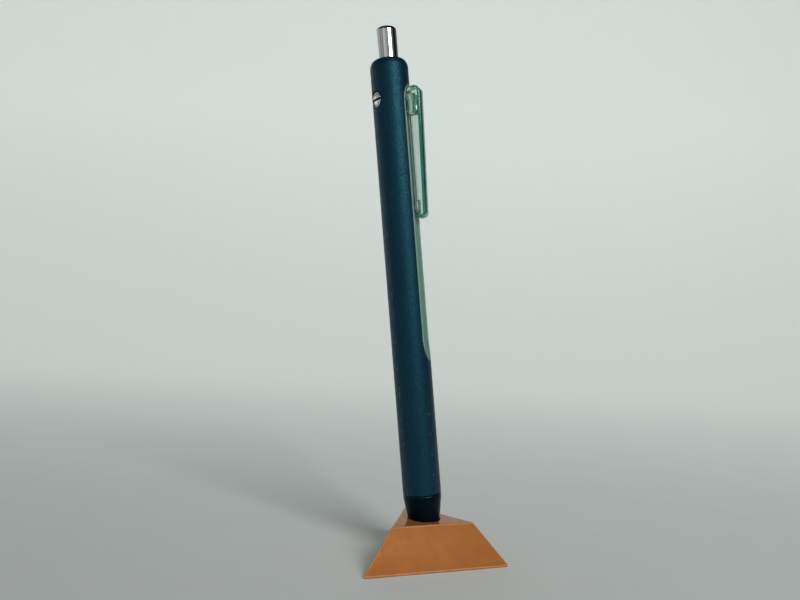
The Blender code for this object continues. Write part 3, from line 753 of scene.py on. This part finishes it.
def make_holder():
    """The printed frustum with its leaning socket and a painted highlight on its rounded edges and foot.
    """
    bm = bmesh.new()
    levels = [(BASE_SIDE, 0.0), (BASE_SIDE, FOOT_HEIGHT), (TOP_SIDE, HOLDER_HEIGHT)]
    rings = [[bm.verts.new(corner) for corner in triangle(side, height)] for side, height in levels]
    bm.faces.new(reversed(rings[0]))
    bm.faces.new(rings[-1])
    bridge(bm, rings)
    holder = add_mesh("printed_holder", bm, Matrix.Identity(4))
    round_edges(holder, HOLDER_ROUND, 4)
    outline = [
        (0.0, CUT_OVER),
        (SOCKET_RADIUS, CUT_OVER),
        (SOCKET_RADIUS, -SOCKET_STRAIGHT),
        (SOCKET_FLOOR_RADIUS, -SOCKET_DEPTH),
        (0.0, -SOCKET_DEPTH),
    ]
    settle(holder, [add_mesh("socket", turned(outline, SOCKET_STEPS), PEN)])
    dress(holder, copper_print("copper_print_finish", COPPER), "holder", "copper_print", "holder_body")
    run = (BASE_SIDE - TOP_SIDE) / (2 * math.sqrt(3))
    slope = Vector((0.0, FOOT_HEIGHT - HOLDER_HEIGHT, run)).normalized()
    sides = [Matrix.Rotation(math.radians(turn), 3, "Z") @ slope for turn in (0, 120, 240)]

    def on_highlit_edge(centre, normal):
        """Whether a face gets the painted highlight: on a rounded edge or on the foot, off the socket."""
        plain = max(abs(normal.z), *(abs(normal.dot(side)) for side in sides)) >= SAME_FACING
        outside = math.hypot(centre.x, centre.y) > SOCKET_RADIUS + SOCKET_RIM
        return normal.z > LEVEL_FACING and outside and not plain

    # Rounded edges and the foot get a lighter copper: a painted highlight
    paint(holder, copper_print("print_edge_highlight", COPPER_EDGE_HIGHLIGHT), on_highlit_edge)


def flat_at(height):
    """Distance of the flat from the axis at a height, or None outside the flat."""
    depth = BARREL_RADIUS - FLAT_DISTANCE
    if height <= FLAT_LOW or height >= FLAT_HIGH:
        return None
    for left, reach in (
        (FLAT_LOW + FLAT_LOWER_RUN_OUT - height, FLAT_LOWER_RUN_OUT),
        (height - FLAT_HIGH + FLAT_UPPER_RUN_OUT, FLAT_UPPER_RUN_OUT),
    ):
        if left > 0:
            radius = (reach**2 + depth**2) / (2 * depth)
            return FLAT_DISTANCE + radius - math.sqrt(radius**2 - left**2)
    return FLAT_DISTANCE


def barrel_point(row, angle):
    """A point of the barrel: the turned radius, planed down where the flat lies."""
    radius, height, skin = row
    turn = angle - CLIP_HEADING
    plane = flat_at(height) if skin else None
    if plane is not None and math.cos(turn) > FLAT_LEAST_COSINE:
        reach = plane / math.cos(turn)
        close = max(FLAT_EDGE_ROUND - abs(reach - radius), 0.0) / FLAT_EDGE_ROUND
        radius = min(reach, radius) - close**2 * FLAT_EDGE_ROUND / 4
    return (radius * math.cos(angle), radius * math.sin(angle), height)


def on_flat(centre, normal):
    """Whether a face of the barrel lies on the flat or its run-outs."""
    turn = math.remainder(math.atan2(centre.y, centre.x) - CLIP_HEADING, 2 * math.pi)
    inside = math.hypot(centre.x, centre.y)
    reaches = FLAT_LOW < centre.z < FLAT_HIGH and abs(turn) < FLAT_HALF_ANGLE
    return reaches and FLAT_DISTANCE - FLAT_INNER_SLACK < inside < BARREL_RADIUS - FLAT_OUTER_SLACK


def barrel_rows():
    """The barrel's outline as (radius, height, on the skin), down the outside and up the bore."""
    reach = BARREL_RADIUS - BUTTON_HOLE_RADIUS - SHOULDER_LAND
    shoulder_low = BARREL_TOP - SHOULDER_HEIGHT
    shoulder = oval((BARREL_RADIUS - reach, shoulder_low), (reach, SHOULDER_HEIGHT), 90, 0, 16)
    heights = [
        *steps_between(shoulder_low, FLAT_HIGH, 3),
        *steps_between(FLAT_HIGH, FLAT_HIGH - FLAT_UPPER_RUN_OUT, 20),
        *steps_between(FLAT_HIGH - FLAT_UPPER_RUN_OUT, FLAT_LOW + FLAT_LOWER_RUN_OUT, 12),
        *steps_between(FLAT_LOW + FLAT_LOWER_RUN_OUT, FLAT_LOW, 26),
        *steps_between(FLAT_LOW, BARREL_LOW + PARTING_CHAMFER, 7),
    ]
    return [
        (BUTTON_HOLE_RADIUS, BARREL_TOP, True),
        *((radius, height, True) for radius, height in shoulder),
        *((BARREL_RADIUS, height, True) for height in heights),
        (BARREL_RADIUS - PARTING_CHAMFER, BARREL_LOW, False),
        (SPIGOT_SEAT_RADIUS, BARREL_LOW, False),
        (SPIGOT_SEAT_RADIUS, SPIGOT_SEAT_TOP, False),
        (BORE_RADIUS, SPIGOT_SEAT_TOP, False),
        (BORE_RADIUS, BORE_TOP, False),
        (BUTTON_HOLE_RADIUS, BORE_TOP, False),
    ]


def barrel_angles():
    """Headings round the barrel, close together over the flat."""
    start = CLIP_HEADING - FINE_HALF_ANGLE
    end = CLIP_HEADING + FINE_HALF_ANGLE
    rest = 2 * math.pi - 2 * FINE_HALF_ANGLE
    fine = [start + 2 * FINE_HALF_ANGLE * index / FINE_STEPS for index in range(FINE_STEPS)]
    return fine + [end + rest * index / COARSE_STEPS for index in range(COARSE_STEPS)]


def make_barrel():
    """The tube with its shoulder, flat, screw hole and the window for the clip's tang."""
    barrel = add_mesh("satin_barrel", grid_ring(barrel_rows(), barrel_angles(), barrel_point), PEN)
    counterbore = [
        (0.0, BARREL_RADIUS + CUT_OVER),
        (COUNTERBORE_RADIUS, BARREL_RADIUS + CUT_OVER),
        (COUNTERBORE_RADIUS, COUNTERBORE_FLOOR),
        (SCREW_HOLE_RADIUS, COUNTERBORE_FLOOR),
        (SCREW_HOLE_RADIUS, SCREW_HOLE_END),
        (0.0, SCREW_HOLE_END),
    ]
    half_width = CLIP_WIDTH / 2 + RUN_GAP
    half_length = TANG_LENGTH / 2 + RUN_GAP
    opening = block((-WINDOW_INSIDE, -half_width, -half_length), (WINDOW_OUTSIDE, half_width, half_length))
    screw_hole = add_mesh("screw_hole", turned(counterbore, SCREW_STEPS), screw_place())
    settle(barrel, [screw_hole, add_mesh("window", opening, clip_place())])
    surface = satin_coat("petrol_satin_finish", PETROL, rough=(0.42, 0.5), gloss=0.68, worn=True)
    dress(barrel, surface, "pen", "petrol_satin", "barrel")
    paint(barrel, milled_flat(), on_flat)


def nose_ogive():
    """The curve from the nose cone's waist to its tip, without its ends."""
    waist = Vector((NOSE_WAIST_RADIUS, 0.0))
    tip = Vector((NOSE_TIP_RADIUS, NOSE_TIP + NOSE_TIP_ROUND))
    slope = (BARREL_RADIUS - waist.x) / NOSE_COLLAR_LOW
    bend = Vector((waist.x + slope * tip.y * OGIVE_FULLNESS, tip.y * OGIVE_FULLNESS))
    points = []
    for index in range(1, OGIVE_STEPS):
        share = index / OGIVE_STEPS
        point = waist * (1 - share) ** 2 + bend * (2 * share * (1 - share)) + tip * share**2
        points.append((point.x, point.y))
    return points


def on_ring(centre, normal):
    """Whether a face of the nose cone lies on the rounded rim at the parting."""
    outside = math.hypot(centre.x, centre.y) > SPIGOT_RADIUS
    return NOSE_TOP - PARTING_CHAMFER < centre.z < NOSE_TOP and outside


def make_nose():
    """The tapered nose cone with its spigot and guide bore."""
    rim = (BARREL_RADIUS - PARTING_CHAMFER, NOSE_TOP - PARTING_CHAMFER)
    tip = (NOSE_TIP_RADIUS - NOSE_TIP_ROUND, NOSE_TIP + NOSE_TIP_ROUND)
    outline = [
        (SPIGOT_RADIUS, SPIGOT_TOP),
        (SPIGOT_RADIUS, NOSE_TOP),
        (BARREL_RADIUS - PARTING_CHAMFER, NOSE_TOP),
        *arc(rim, PARTING_CHAMFER, 75, 0, 4),
        (BARREL_RADIUS, NOSE_COLLAR_LOW + COLLAR_EASE_ABOVE),
        (BARREL_RADIUS - COLLAR_EASE_DEPTH, NOSE_COLLAR_LOW - COLLAR_EASE_BELOW),
        (NOSE_WAIST_RADIUS, 0.0),
        *nose_ogive(),
        *arc(tip, NOSE_TIP_ROUND, 0, -90, 8),
        (GUIDE_BORE_RADIUS, NOSE_TIP),
        (GUIDE_BORE_RADIUS, 0.0),
        (SPIGOT_BORE_RADIUS, 0.0),
        (SPIGOT_BORE_RADIUS, SPIGOT_TOP),
    ]
    nose = add_mesh("tapered_nose", turned(outline, NOSE_STEPS, closed=True), PEN)
    settle(nose)
    surface = satin_coat("navy_satin_finish", NAVY, rough=(0.3, 0.38), gloss=0.12)
    dress(nose, surface, "pen", "navy_satin", "nose_cone")
    paint(nose, satin_coat("ring_finish", NAVY_RING, rough=(0.2, 0.28), gloss=0.9), on_ring)


def make_button():
    """The chromed cap with its rounded top."""
    shoulder = (BUTTON_RADIUS - BUTTON_ROUND, BUTTON_TOP - BUTTON_ROUND)
    outline = [
        (0.0, BUTTON_TOP),
        *arc(shoulder, BUTTON_ROUND, 90, 0, 14),
        (BUTTON_RADIUS, BUTTON_LOW + BUTTON_CHAMFER),
        (BUTTON_RADIUS - BUTTON_CHAMFER, BUTTON_LOW),
        (BUTTON_BORE_RADIUS, BUTTON_LOW),
        (BUTTON_BORE_RADIUS, BUTTON_BORE_TOP),
        (0.0, BUTTON_BORE_TOP),
    ]
    button = add_mesh("chromed_button", turned(outline, BUTTON_STEPS), PEN)
    settle(button)
    surface = bright_metal("button_chrome_finish", BUTTON_CHROME, (0.025, 0.06), POLISH_MARKS, 0.001 * MM)
    dress(button, surface, "button", "button_chrome", "push_button")


def make_screw():
    """The slotted screw with a turned groove round its crown; painted shade darkens the slot and the
    groove.
    """
    edge = SCREW_CROWN - SCREW_DOME
    groove_end = SCREW_CENTRE_RADIUS + SCREW_GROOVE
    ring = (SCREW_HEAD_RADIUS - groove_end) / 2
    outline = [
        *oval((0.0, edge), (SCREW_CENTRE_RADIUS, SCREW_DOME), 90, 12, 8),
        (SCREW_CENTRE_RADIUS, edge - SCREW_GROOVE_DEPTH),
        (groove_end, edge - SCREW_GROOVE_DEPTH),
        *arc((SCREW_HEAD_RADIUS - ring, edge), ring, 180, 0, 10),
        (SCREW_HEAD_RADIUS, edge - SCREW_HEAD_HEIGHT),
        (SCREW_SHANK_RADIUS, edge - SCREW_HEAD_HEIGHT),
        (SCREW_SHANK_RADIUS, SCREW_SHANK_END),
        (0.0, SCREW_SHANK_END),
    ]
    screw = add_mesh("slotted_screw", turned(outline, SCREW_STEPS), screw_place())
    slot_floor = SCREW_CROWN - SLOT_DEPTH
    opening = block(
        (-SLOT_WIDTH / 2, -SLOT_REACH, slot_floor),
        (SLOT_WIDTH / 2, SLOT_REACH, SCREW_CROWN + CUT_OVER),
    )
    settle(screw, [add_mesh("slot", opening, screw_place())])
    surface = bright_metal("screw_chrome_finish", SCREW_CHROME, (0.08, 0.16), EVEN, 0.004 * MM)
    dress(screw, surface, "pen", "screw_chrome", "side_screw")

    def in_groove(centre, normal):
        """Whether a face lies in the slot or in the groove, where shade is painted."""
        out = math.hypot(centre.x, centre.y)
        in_slot = abs(centre.x) < SLOT_WIDTH / 2 + FACE_SLACK and centre.z > slot_floor - FACE_SLACK
        round_crown = SCREW_CENTRE_RADIUS - FACE_SLACK < out < groove_end + FACE_SLACK
        return in_slot or (round_crown and centre.z < edge)

    # The slot and groove get a dark metal: painted shade in the recesses
    paint(screw, bright_metal("slot_painted_shade", SLOT_SHADE, (0.4, 0.55), EVEN, 0.006 * MM), in_groove)


def clip_outline():
    """The clip's side view."""
    outer = CLIP_OUTER_ROUND
    heel = CLIP_HEEL_ROUND
    toe = CLIP_TOE_ROUND
    pad_proud = CLIP_STAND_OFF - RUN_GAP
    pad_middle = CLIP_LOW + PAD_FROM_END + PAD_LENGTH / 2
    return [
        *arc((CLIP_STAND_OFF + toe, CLIP_LOW + toe), toe, 180, 270, 8),
        *arc((CLIP_LOWER_PROUD - outer, CLIP_LOW + outer), outer, 270, 360, 16),
        *arc((CLIP_UPPER_PROUD - outer, CLIP_HEAD - outer), outer, 0, 90, 16),
        *arc((CLIP_STAND_OFF + heel, CLIP_HEAD - heel), heel, 90, 180, 12),
        (CLIP_STAND_OFF, BOSS_LENGTH / 2),
        (RUN_GAP, BOSS_LENGTH / 2),
        (RUN_GAP, TANG_LENGTH / 2),
        (-TANG_DEPTH, TANG_LENGTH / 2),
        (-TANG_DEPTH, -TANG_LENGTH / 2),
        (RUN_GAP, -TANG_LENGTH / 2),
        (RUN_GAP, -BOSS_LENGTH / 2),
        (CLIP_STAND_OFF, -BOSS_LENGTH / 2),
        *oval((CLIP_STAND_OFF, pad_middle), (pad_proud, PAD_LENGTH / 2), 90, 270, 12),
    ]


def clip_hollow():
    """The inside of the channel, round the boss and behind the pad."""
    mouth = CLIP_STAND_OFF - CUT_OVER
    half = BOSS_LENGTH / 2
    outer = CLIP_OUTER_ROUND - CLIP_BAND
    heel = CLIP_HEEL_ROUND - CLIP_END_WALL
    top = CLIP_HEAD - CLIP_END_WALL
    floor = CLIP_LOW + CLIP_CURL
    return [
        (mouth, PAD_TOP),
        (PAD_BACK, PAD_TOP),
        (PAD_BACK, floor),
        *arc((CLIP_LOWER_PROUD - CLIP_BAND - outer, floor + outer), outer, 270, 360, 10),
        *arc((CLIP_UPPER_PROUD - CLIP_BAND - outer, top - outer), outer, 0, 90, 10),
        *arc((CLIP_STAND_OFF + CLIP_END_WALL + heel, top - heel), heel, 90, 180, 8),
        (mouth, top - heel),
        (mouth, half),
        *arc((BOSS_PROUD - BOSS_ROUND, half - BOSS_ROUND), BOSS_ROUND, 90, 0, 10),
        *arc((BOSS_PROUD - BOSS_ROUND, BOSS_ROUND - half), BOSS_ROUND, 0, -90, 10),
        (mouth, -half),
    ]


def back_corner(side):
    """What the round takes off one long edge of the clip's back."""
    reach = CLIP_BACK_ROUND
    edge = CLIP_WIDTH / 2
    outline = [
        *arc((-reach, edge - reach), reach, 0, 90, 14),
        (-reach, edge + CUT_OVER),
        (CUT_OVER, edge + CUT_OVER),
        (CUT_OVER, edge - reach),
    ]
    slope = (CLIP_UPPER_PROUD - CLIP_LOWER_PROUD) / (CLIP_LENGTH - 2 * CLIP_OUTER_ROUND)
    proud = (CLIP_UPPER_PROUD + CLIP_LOWER_PROUD) / 2
    bm = prism(outline, CLIP_LENGTH + 2 * CUT_OVER)
    along_back = Matrix(((1, slope, 0, proud), (0, 0, side, 0), (0, 1, 0, CLIP_MIDDLE), (0, 0, 0, 1)))
    bmesh.ops.transform(bm, matrix=along_back, verts=bm.verts)
    return bm


def split_faces(piece, point, normal):
    """Draw an edge where a plane crosses a piece's faces."""
    bm = bmesh.new()
    bm.from_mesh(piece.data)
    everything = bm.verts[:] + bm.edges[:] + bm.faces[:]
    bmesh.ops.bisect_plane(bm, geom=everything, dist=MERGE_DISTANCE, plane_co=point, plane_no=normal)
    bm.to_mesh(piece.data)
    bm.free()


def make_clip():
    """The clear channel, with a deeper tint on its rim and flow lines in its boss and pad."""
    clip = add_mesh("clear_clip", prism(clip_outline(), CLIP_WIDTH), clip_place())
    round_edges(clip, CLIP_EDGE_ROUND, 3)
    tools = [add_mesh("hollow", prism(clip_hollow(), CLIP_WIDTH - 2 * CLIP_SIDE_WALL), clip_place())]
    tools += [add_mesh("back_corner", back_corner(side), clip_place()) for side in (1, -1)]
    settle(clip, tools)
    band = Vector((CLIP_LOWER_PROUD - CLIP_BAND, 0.0, CLIP_LOW))
    along = Vector((CLIP_UPPER_PROUD - CLIP_LOWER_PROUD, 0.0, CLIP_LENGTH))
    outward = Vector((along.z, 0.0, -along.x)).normalized()
    top_line = CLIP_HEAD - CLIP_END_WALL
    low_line = CLIP_LOW + CLIP_CURL
    split_faces(clip, band, outward)
    for height in (top_line, low_line, BOSS_LENGTH / 2, -BOSS_LENGTH / 2):
        split_faces(clip, (0.0, 0.0, height), (0.0, 0.0, 1.0))
    split_faces(clip, (BOSS_PROUD, 0.0, 0.0), (1.0, 0.0, 0.0))
    split_faces(clip, (0.0, 0.0, PAD_TOP), (0.0, 0.0, 1.0))
    split_faces(clip, (PAD_BACK, 0.0, 0.0), (1.0, 0.0, 0.0))
    dress(clip, clear_plastic("clip_web_finish", CLEAR_WEB), "clip", "clip_clear_green", "clip")

    def on_rim(centre, normal):
        """Whether a face lies on the outer band or on one of the end walls."""
        beyond = (centre - band).dot(outward) > -FACE_SLACK
        return beyond or centre.z > top_line - FACE_SLACK or centre.z < low_line + FACE_SLACK

    def on_boss(centre, normal):
        """Whether a face lies on the pad or the boss, and off the rim."""
        on_pad = centre.z < PAD_TOP + FACE_SLACK and centre.x < PAD_BACK + FACE_SLACK
        beside_boss = abs(centre.z) < BOSS_LENGTH / 2 + FACE_SLACK and centre.x < BOSS_PROUD + FACE_SLACK
        return (on_pad or beside_boss) and not on_rim(centre, normal)

    paint(clip, clear_plastic("clip_rim_finish", CLEAR_RIM, rough_high=0.08, clearness=0.75), on_rim)
    boss = clear_plastic("clip_boss_finish", CLEAR_BOSS, rough_high=0.06, clearness=0.85, fineness=1500.0)
    paint(clip, boss, on_boss)


def make_spring():
    """The return spring, built as a fixed coil; in the pen it shortens as the refill is fed."""
    low = SPRING_LOW + WIRE_RADIUS
    rise = SPRING_HIGH - WIRE_RADIUS - low
    slope = math.atan2(rise / COIL_TURNS, 2 * math.pi * COIL_RADIUS)
    steps = COIL_STEPS_PER_TURN * COIL_TURNS
    bm = bmesh.new()
    rings = []
    for index in range(steps + 1):
        turn = 2 * math.pi * index / COIL_STEPS_PER_TURN
        outward = Vector((math.cos(turn), math.sin(turn), 0.0))
        upward = Vector((math.sin(turn), -math.cos(turn), 0.0)) * math.sin(slope)
        upward.z = math.cos(slope)
        middle = outward * COIL_RADIUS
        middle.z = low + rise * index / steps
        rings.append([
            bm.verts.new(middle + (outward * x + upward * y) * WIRE_RADIUS)
            for x, y in arc((0.0, 0.0), 1.0, 0, 360, WIRE_SIDES)[:-1]
        ])
    bridge(bm, rings)
    bm.faces.new(rings[0])
    bm.faces.new(reversed(rings[-1]))
    spring = add_mesh("coiled_spring", bm, PEN)
    settle(spring)
    surface = bright_metal("spring_steel_finish", SPRING_STEEL, (0.26, 0.4), EVEN, 0.006 * MM)
    dress(spring, surface, "pen", "spring_steel", "return_spring")
    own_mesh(spring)


def dress_inner_nodes():
    """The pieces inside the pen keep their solids and get their own finishes."""
    metals = (
        ("guide_sleeve", "sleeve_brass_finish", (0.6, 0.44, 0.19), (0.26, 0.42), TURNED_MARKS, 0.01 * MM),
        ("refill_tube", "tube_steel_finish", (0.58, 0.59, 0.61), (0.24, 0.38), DRAWN_MARKS, 0.008 * MM),
        ("refill_tip", "tip_brass_finish", (0.64, 0.46, 0.19), (0.22, 0.36), TURNED_MARKS, 0.008 * MM),
        ("writing_ball", "ball_carbide_finish", (0.34, 0.34, 0.35), (0.12, 0.24), EVEN, 0.002 * MM),
    )
    plastics = (
        ("plunger", "plunger_plastic_finish", (0.024, 0.024, 0.027), (0.38, 0.52)),
        ("cam_rotor", "rotor_plastic_finish", (0.74, 0.74, 0.72), (0.38, 0.5)),
        ("refill_crown", "crown_plastic_finish", (0.036, 0.036, 0.042), (0.42, 0.56)),
    )
    finishes = {name: bright_metal(*recipe) for name, *recipe in metals}
    finishes.update({name: moulded(*recipe) for name, *recipe in plastics})
    for name, surface in finishes.items():
        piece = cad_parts[name]
        piece.data.materials.clear()
        piece.data.materials.append(surface)


def pale_sweep():
    """The stage's finish: pale, with a glow towards the backdrop and far from the object."""
    surface, tree, shader = new_material(
        "pale_sweep", Roughness=0.85, Specular_IOR_Level=0.2, Emission_Color=STAGE_GLOW
    )
    point = object_point(tree)
    cloud = noise(tree, point, scale=40.0, detail=4.0)
    tree.links.new(shade(tree, cloud, STAGE_PALE), shader.inputs["Base Color"])
    back = map_range(tree, split_axes(tree, point)[1], *GLOW_BACK)
    reach = node(tree, "ShaderNodeVectorMath", operation="LENGTH")
    tree.links.new(point, reach.inputs[0])
    far = map_range(tree, reach.outputs["Value"], *GLOW_FAR)
    tree.links.new(math_node(tree, "MAXIMUM", back, far), shader.inputs["Emission Strength"])
    return surface


def make_stage():
    """A pale floor that sweeps up into a backdrop behind the object.

    The part to the right is for the camera only, so the object reflects the darker room there.
    """
    surface = pale_sweep()
    back = SWEEP_BEND_START + SWEEP_BEND_RADIUS
    profile = [
        (-SWEEP_REACH, 0.0),
        *arc((SWEEP_BEND_START, SWEEP_BEND_RADIUS), SWEEP_BEND_RADIUS, -90, 0, 16),
        (back, SWEEP_TOP),
    ]
    strips = (("sweep", -SWEEP_REACH, SWEEP_RIGHT), ("sweep_side", SWEEP_RIGHT, SWEEP_REACH))
    for name, start, end in strips:
        bm = bmesh.new()
        left = [bm.verts.new((start, y, z)) for y, z in profile]
        right = [bm.verts.new((end, y, z)) for y, z in profile]
        for index in range(len(profile) - 1):
            bm.faces.new((left[index], right[index], right[index + 1], left[index + 1]))
        sweep = add_mesh(name, bm, Matrix.Rotation(-CAMERA_HEADING, 4, "Z"))
        sweep.data.shade_smooth()
        sweep.data.materials.append(surface)
    sweep.visible_diffuse = False
    sweep.visible_glossy = False
    sweep.visible_transmission = False
    sweep.visible_shadow = False


def direction(turn, rise):
    """A unit vector at an angle from +X about Z, and at a height."""
    return Vector((math.cos(turn) * math.cos(rise), math.sin(turn) * math.cos(rise), math.sin(rise)))


def make_key_light():
    """A soft light that looks at the middle of the pen."""
    lamp = bpy.data.lights.new("key", "AREA")
    lamp.shape = "RECTANGLE"
    lamp.size, lamp.size_y = KEY_SIZE
    lamp.energy = KEY_POWER
    way = direction(KEY_HEADING, KEY_RISE)
    light = link_to_scene("key", lamp)
    light.location = KEY_TARGET + way * KEY_DISTANCE
    light.rotation_euler = (-way).to_track_quat("-Z", "Y").to_euler()


def make_world():
    """Soft room light by heading: pale in front, to the left and behind, and dark to the right."""
    world = bpy.data.worlds.new("room")
    bpy.context.scene.world = world
    world.use_nodes = True
    tree = world.node_tree
    where = node(tree, "ShaderNodeTexCoord")
    x, y, z = split_axes(tree, where.outputs["Generated"])
    turn = math_node(tree, "ARCTAN2", y, x)
    share = math_node(tree, "ADD", math_node(tree, "DIVIDE", turn, 2 * math.pi), 0.5)
    stops = [((heading + 180) / 360, dimmed(ROOM_TINT, level)) for heading, level in ROOM_LEVELS]
    room = tree.nodes["Background"]
    tree.links.new(ramp(tree, share, stops), room.inputs["Color"])
    tree.links.new(map_range(tree, z, *ROOM_FADE), room.inputs["Strength"])
    seen = node(tree, "ShaderNodeBackground", Color=BACKDROP)
    path = node(tree, "ShaderNodeLightPath")
    choose = node(tree, "ShaderNodeMixShader")
    tree.links.new(path.outputs["Is Camera Ray"], choose.inputs["Fac"])
    tree.links.new(room.outputs["Background"], choose.inputs[1])
    tree.links.new(seen.outputs["Background"], choose.inputs[2])
    tree.links.new(choose.outputs["Shader"], tree.nodes["World Output"].inputs["Surface"])


def make_camera():
    """The photograph's view, rolled a little to one side."""
    lens = bpy.data.cameras.new("camera")
    lens.lens = CAMERA_LENS
    lens.sensor_width = CAMERA_SENSOR
    camera = link_to_scene("camera", lens)
    forward = direction(math.pi / 2 - CAMERA_HEADING, CAMERA_RISE)
    base = forward.to_track_quat("-Z", "Y").to_matrix().to_4x4()
    camera.matrix_world = (
        Matrix.Translation(CAMERA_PLACE) @ base @ Matrix.Rotation(CAMERA_ROLL, 4, "Z")
    )
    bpy.context.scene.camera = camera


make_holder()
make_barrel()
make_nose()
make_button()
make_screw()
make_clip()
make_spring()
dress_inner_nodes()
make_stage()
make_world()
make_key_light()
make_camera()
bpy.context.scene.view_settings.view_transform = "Standard"
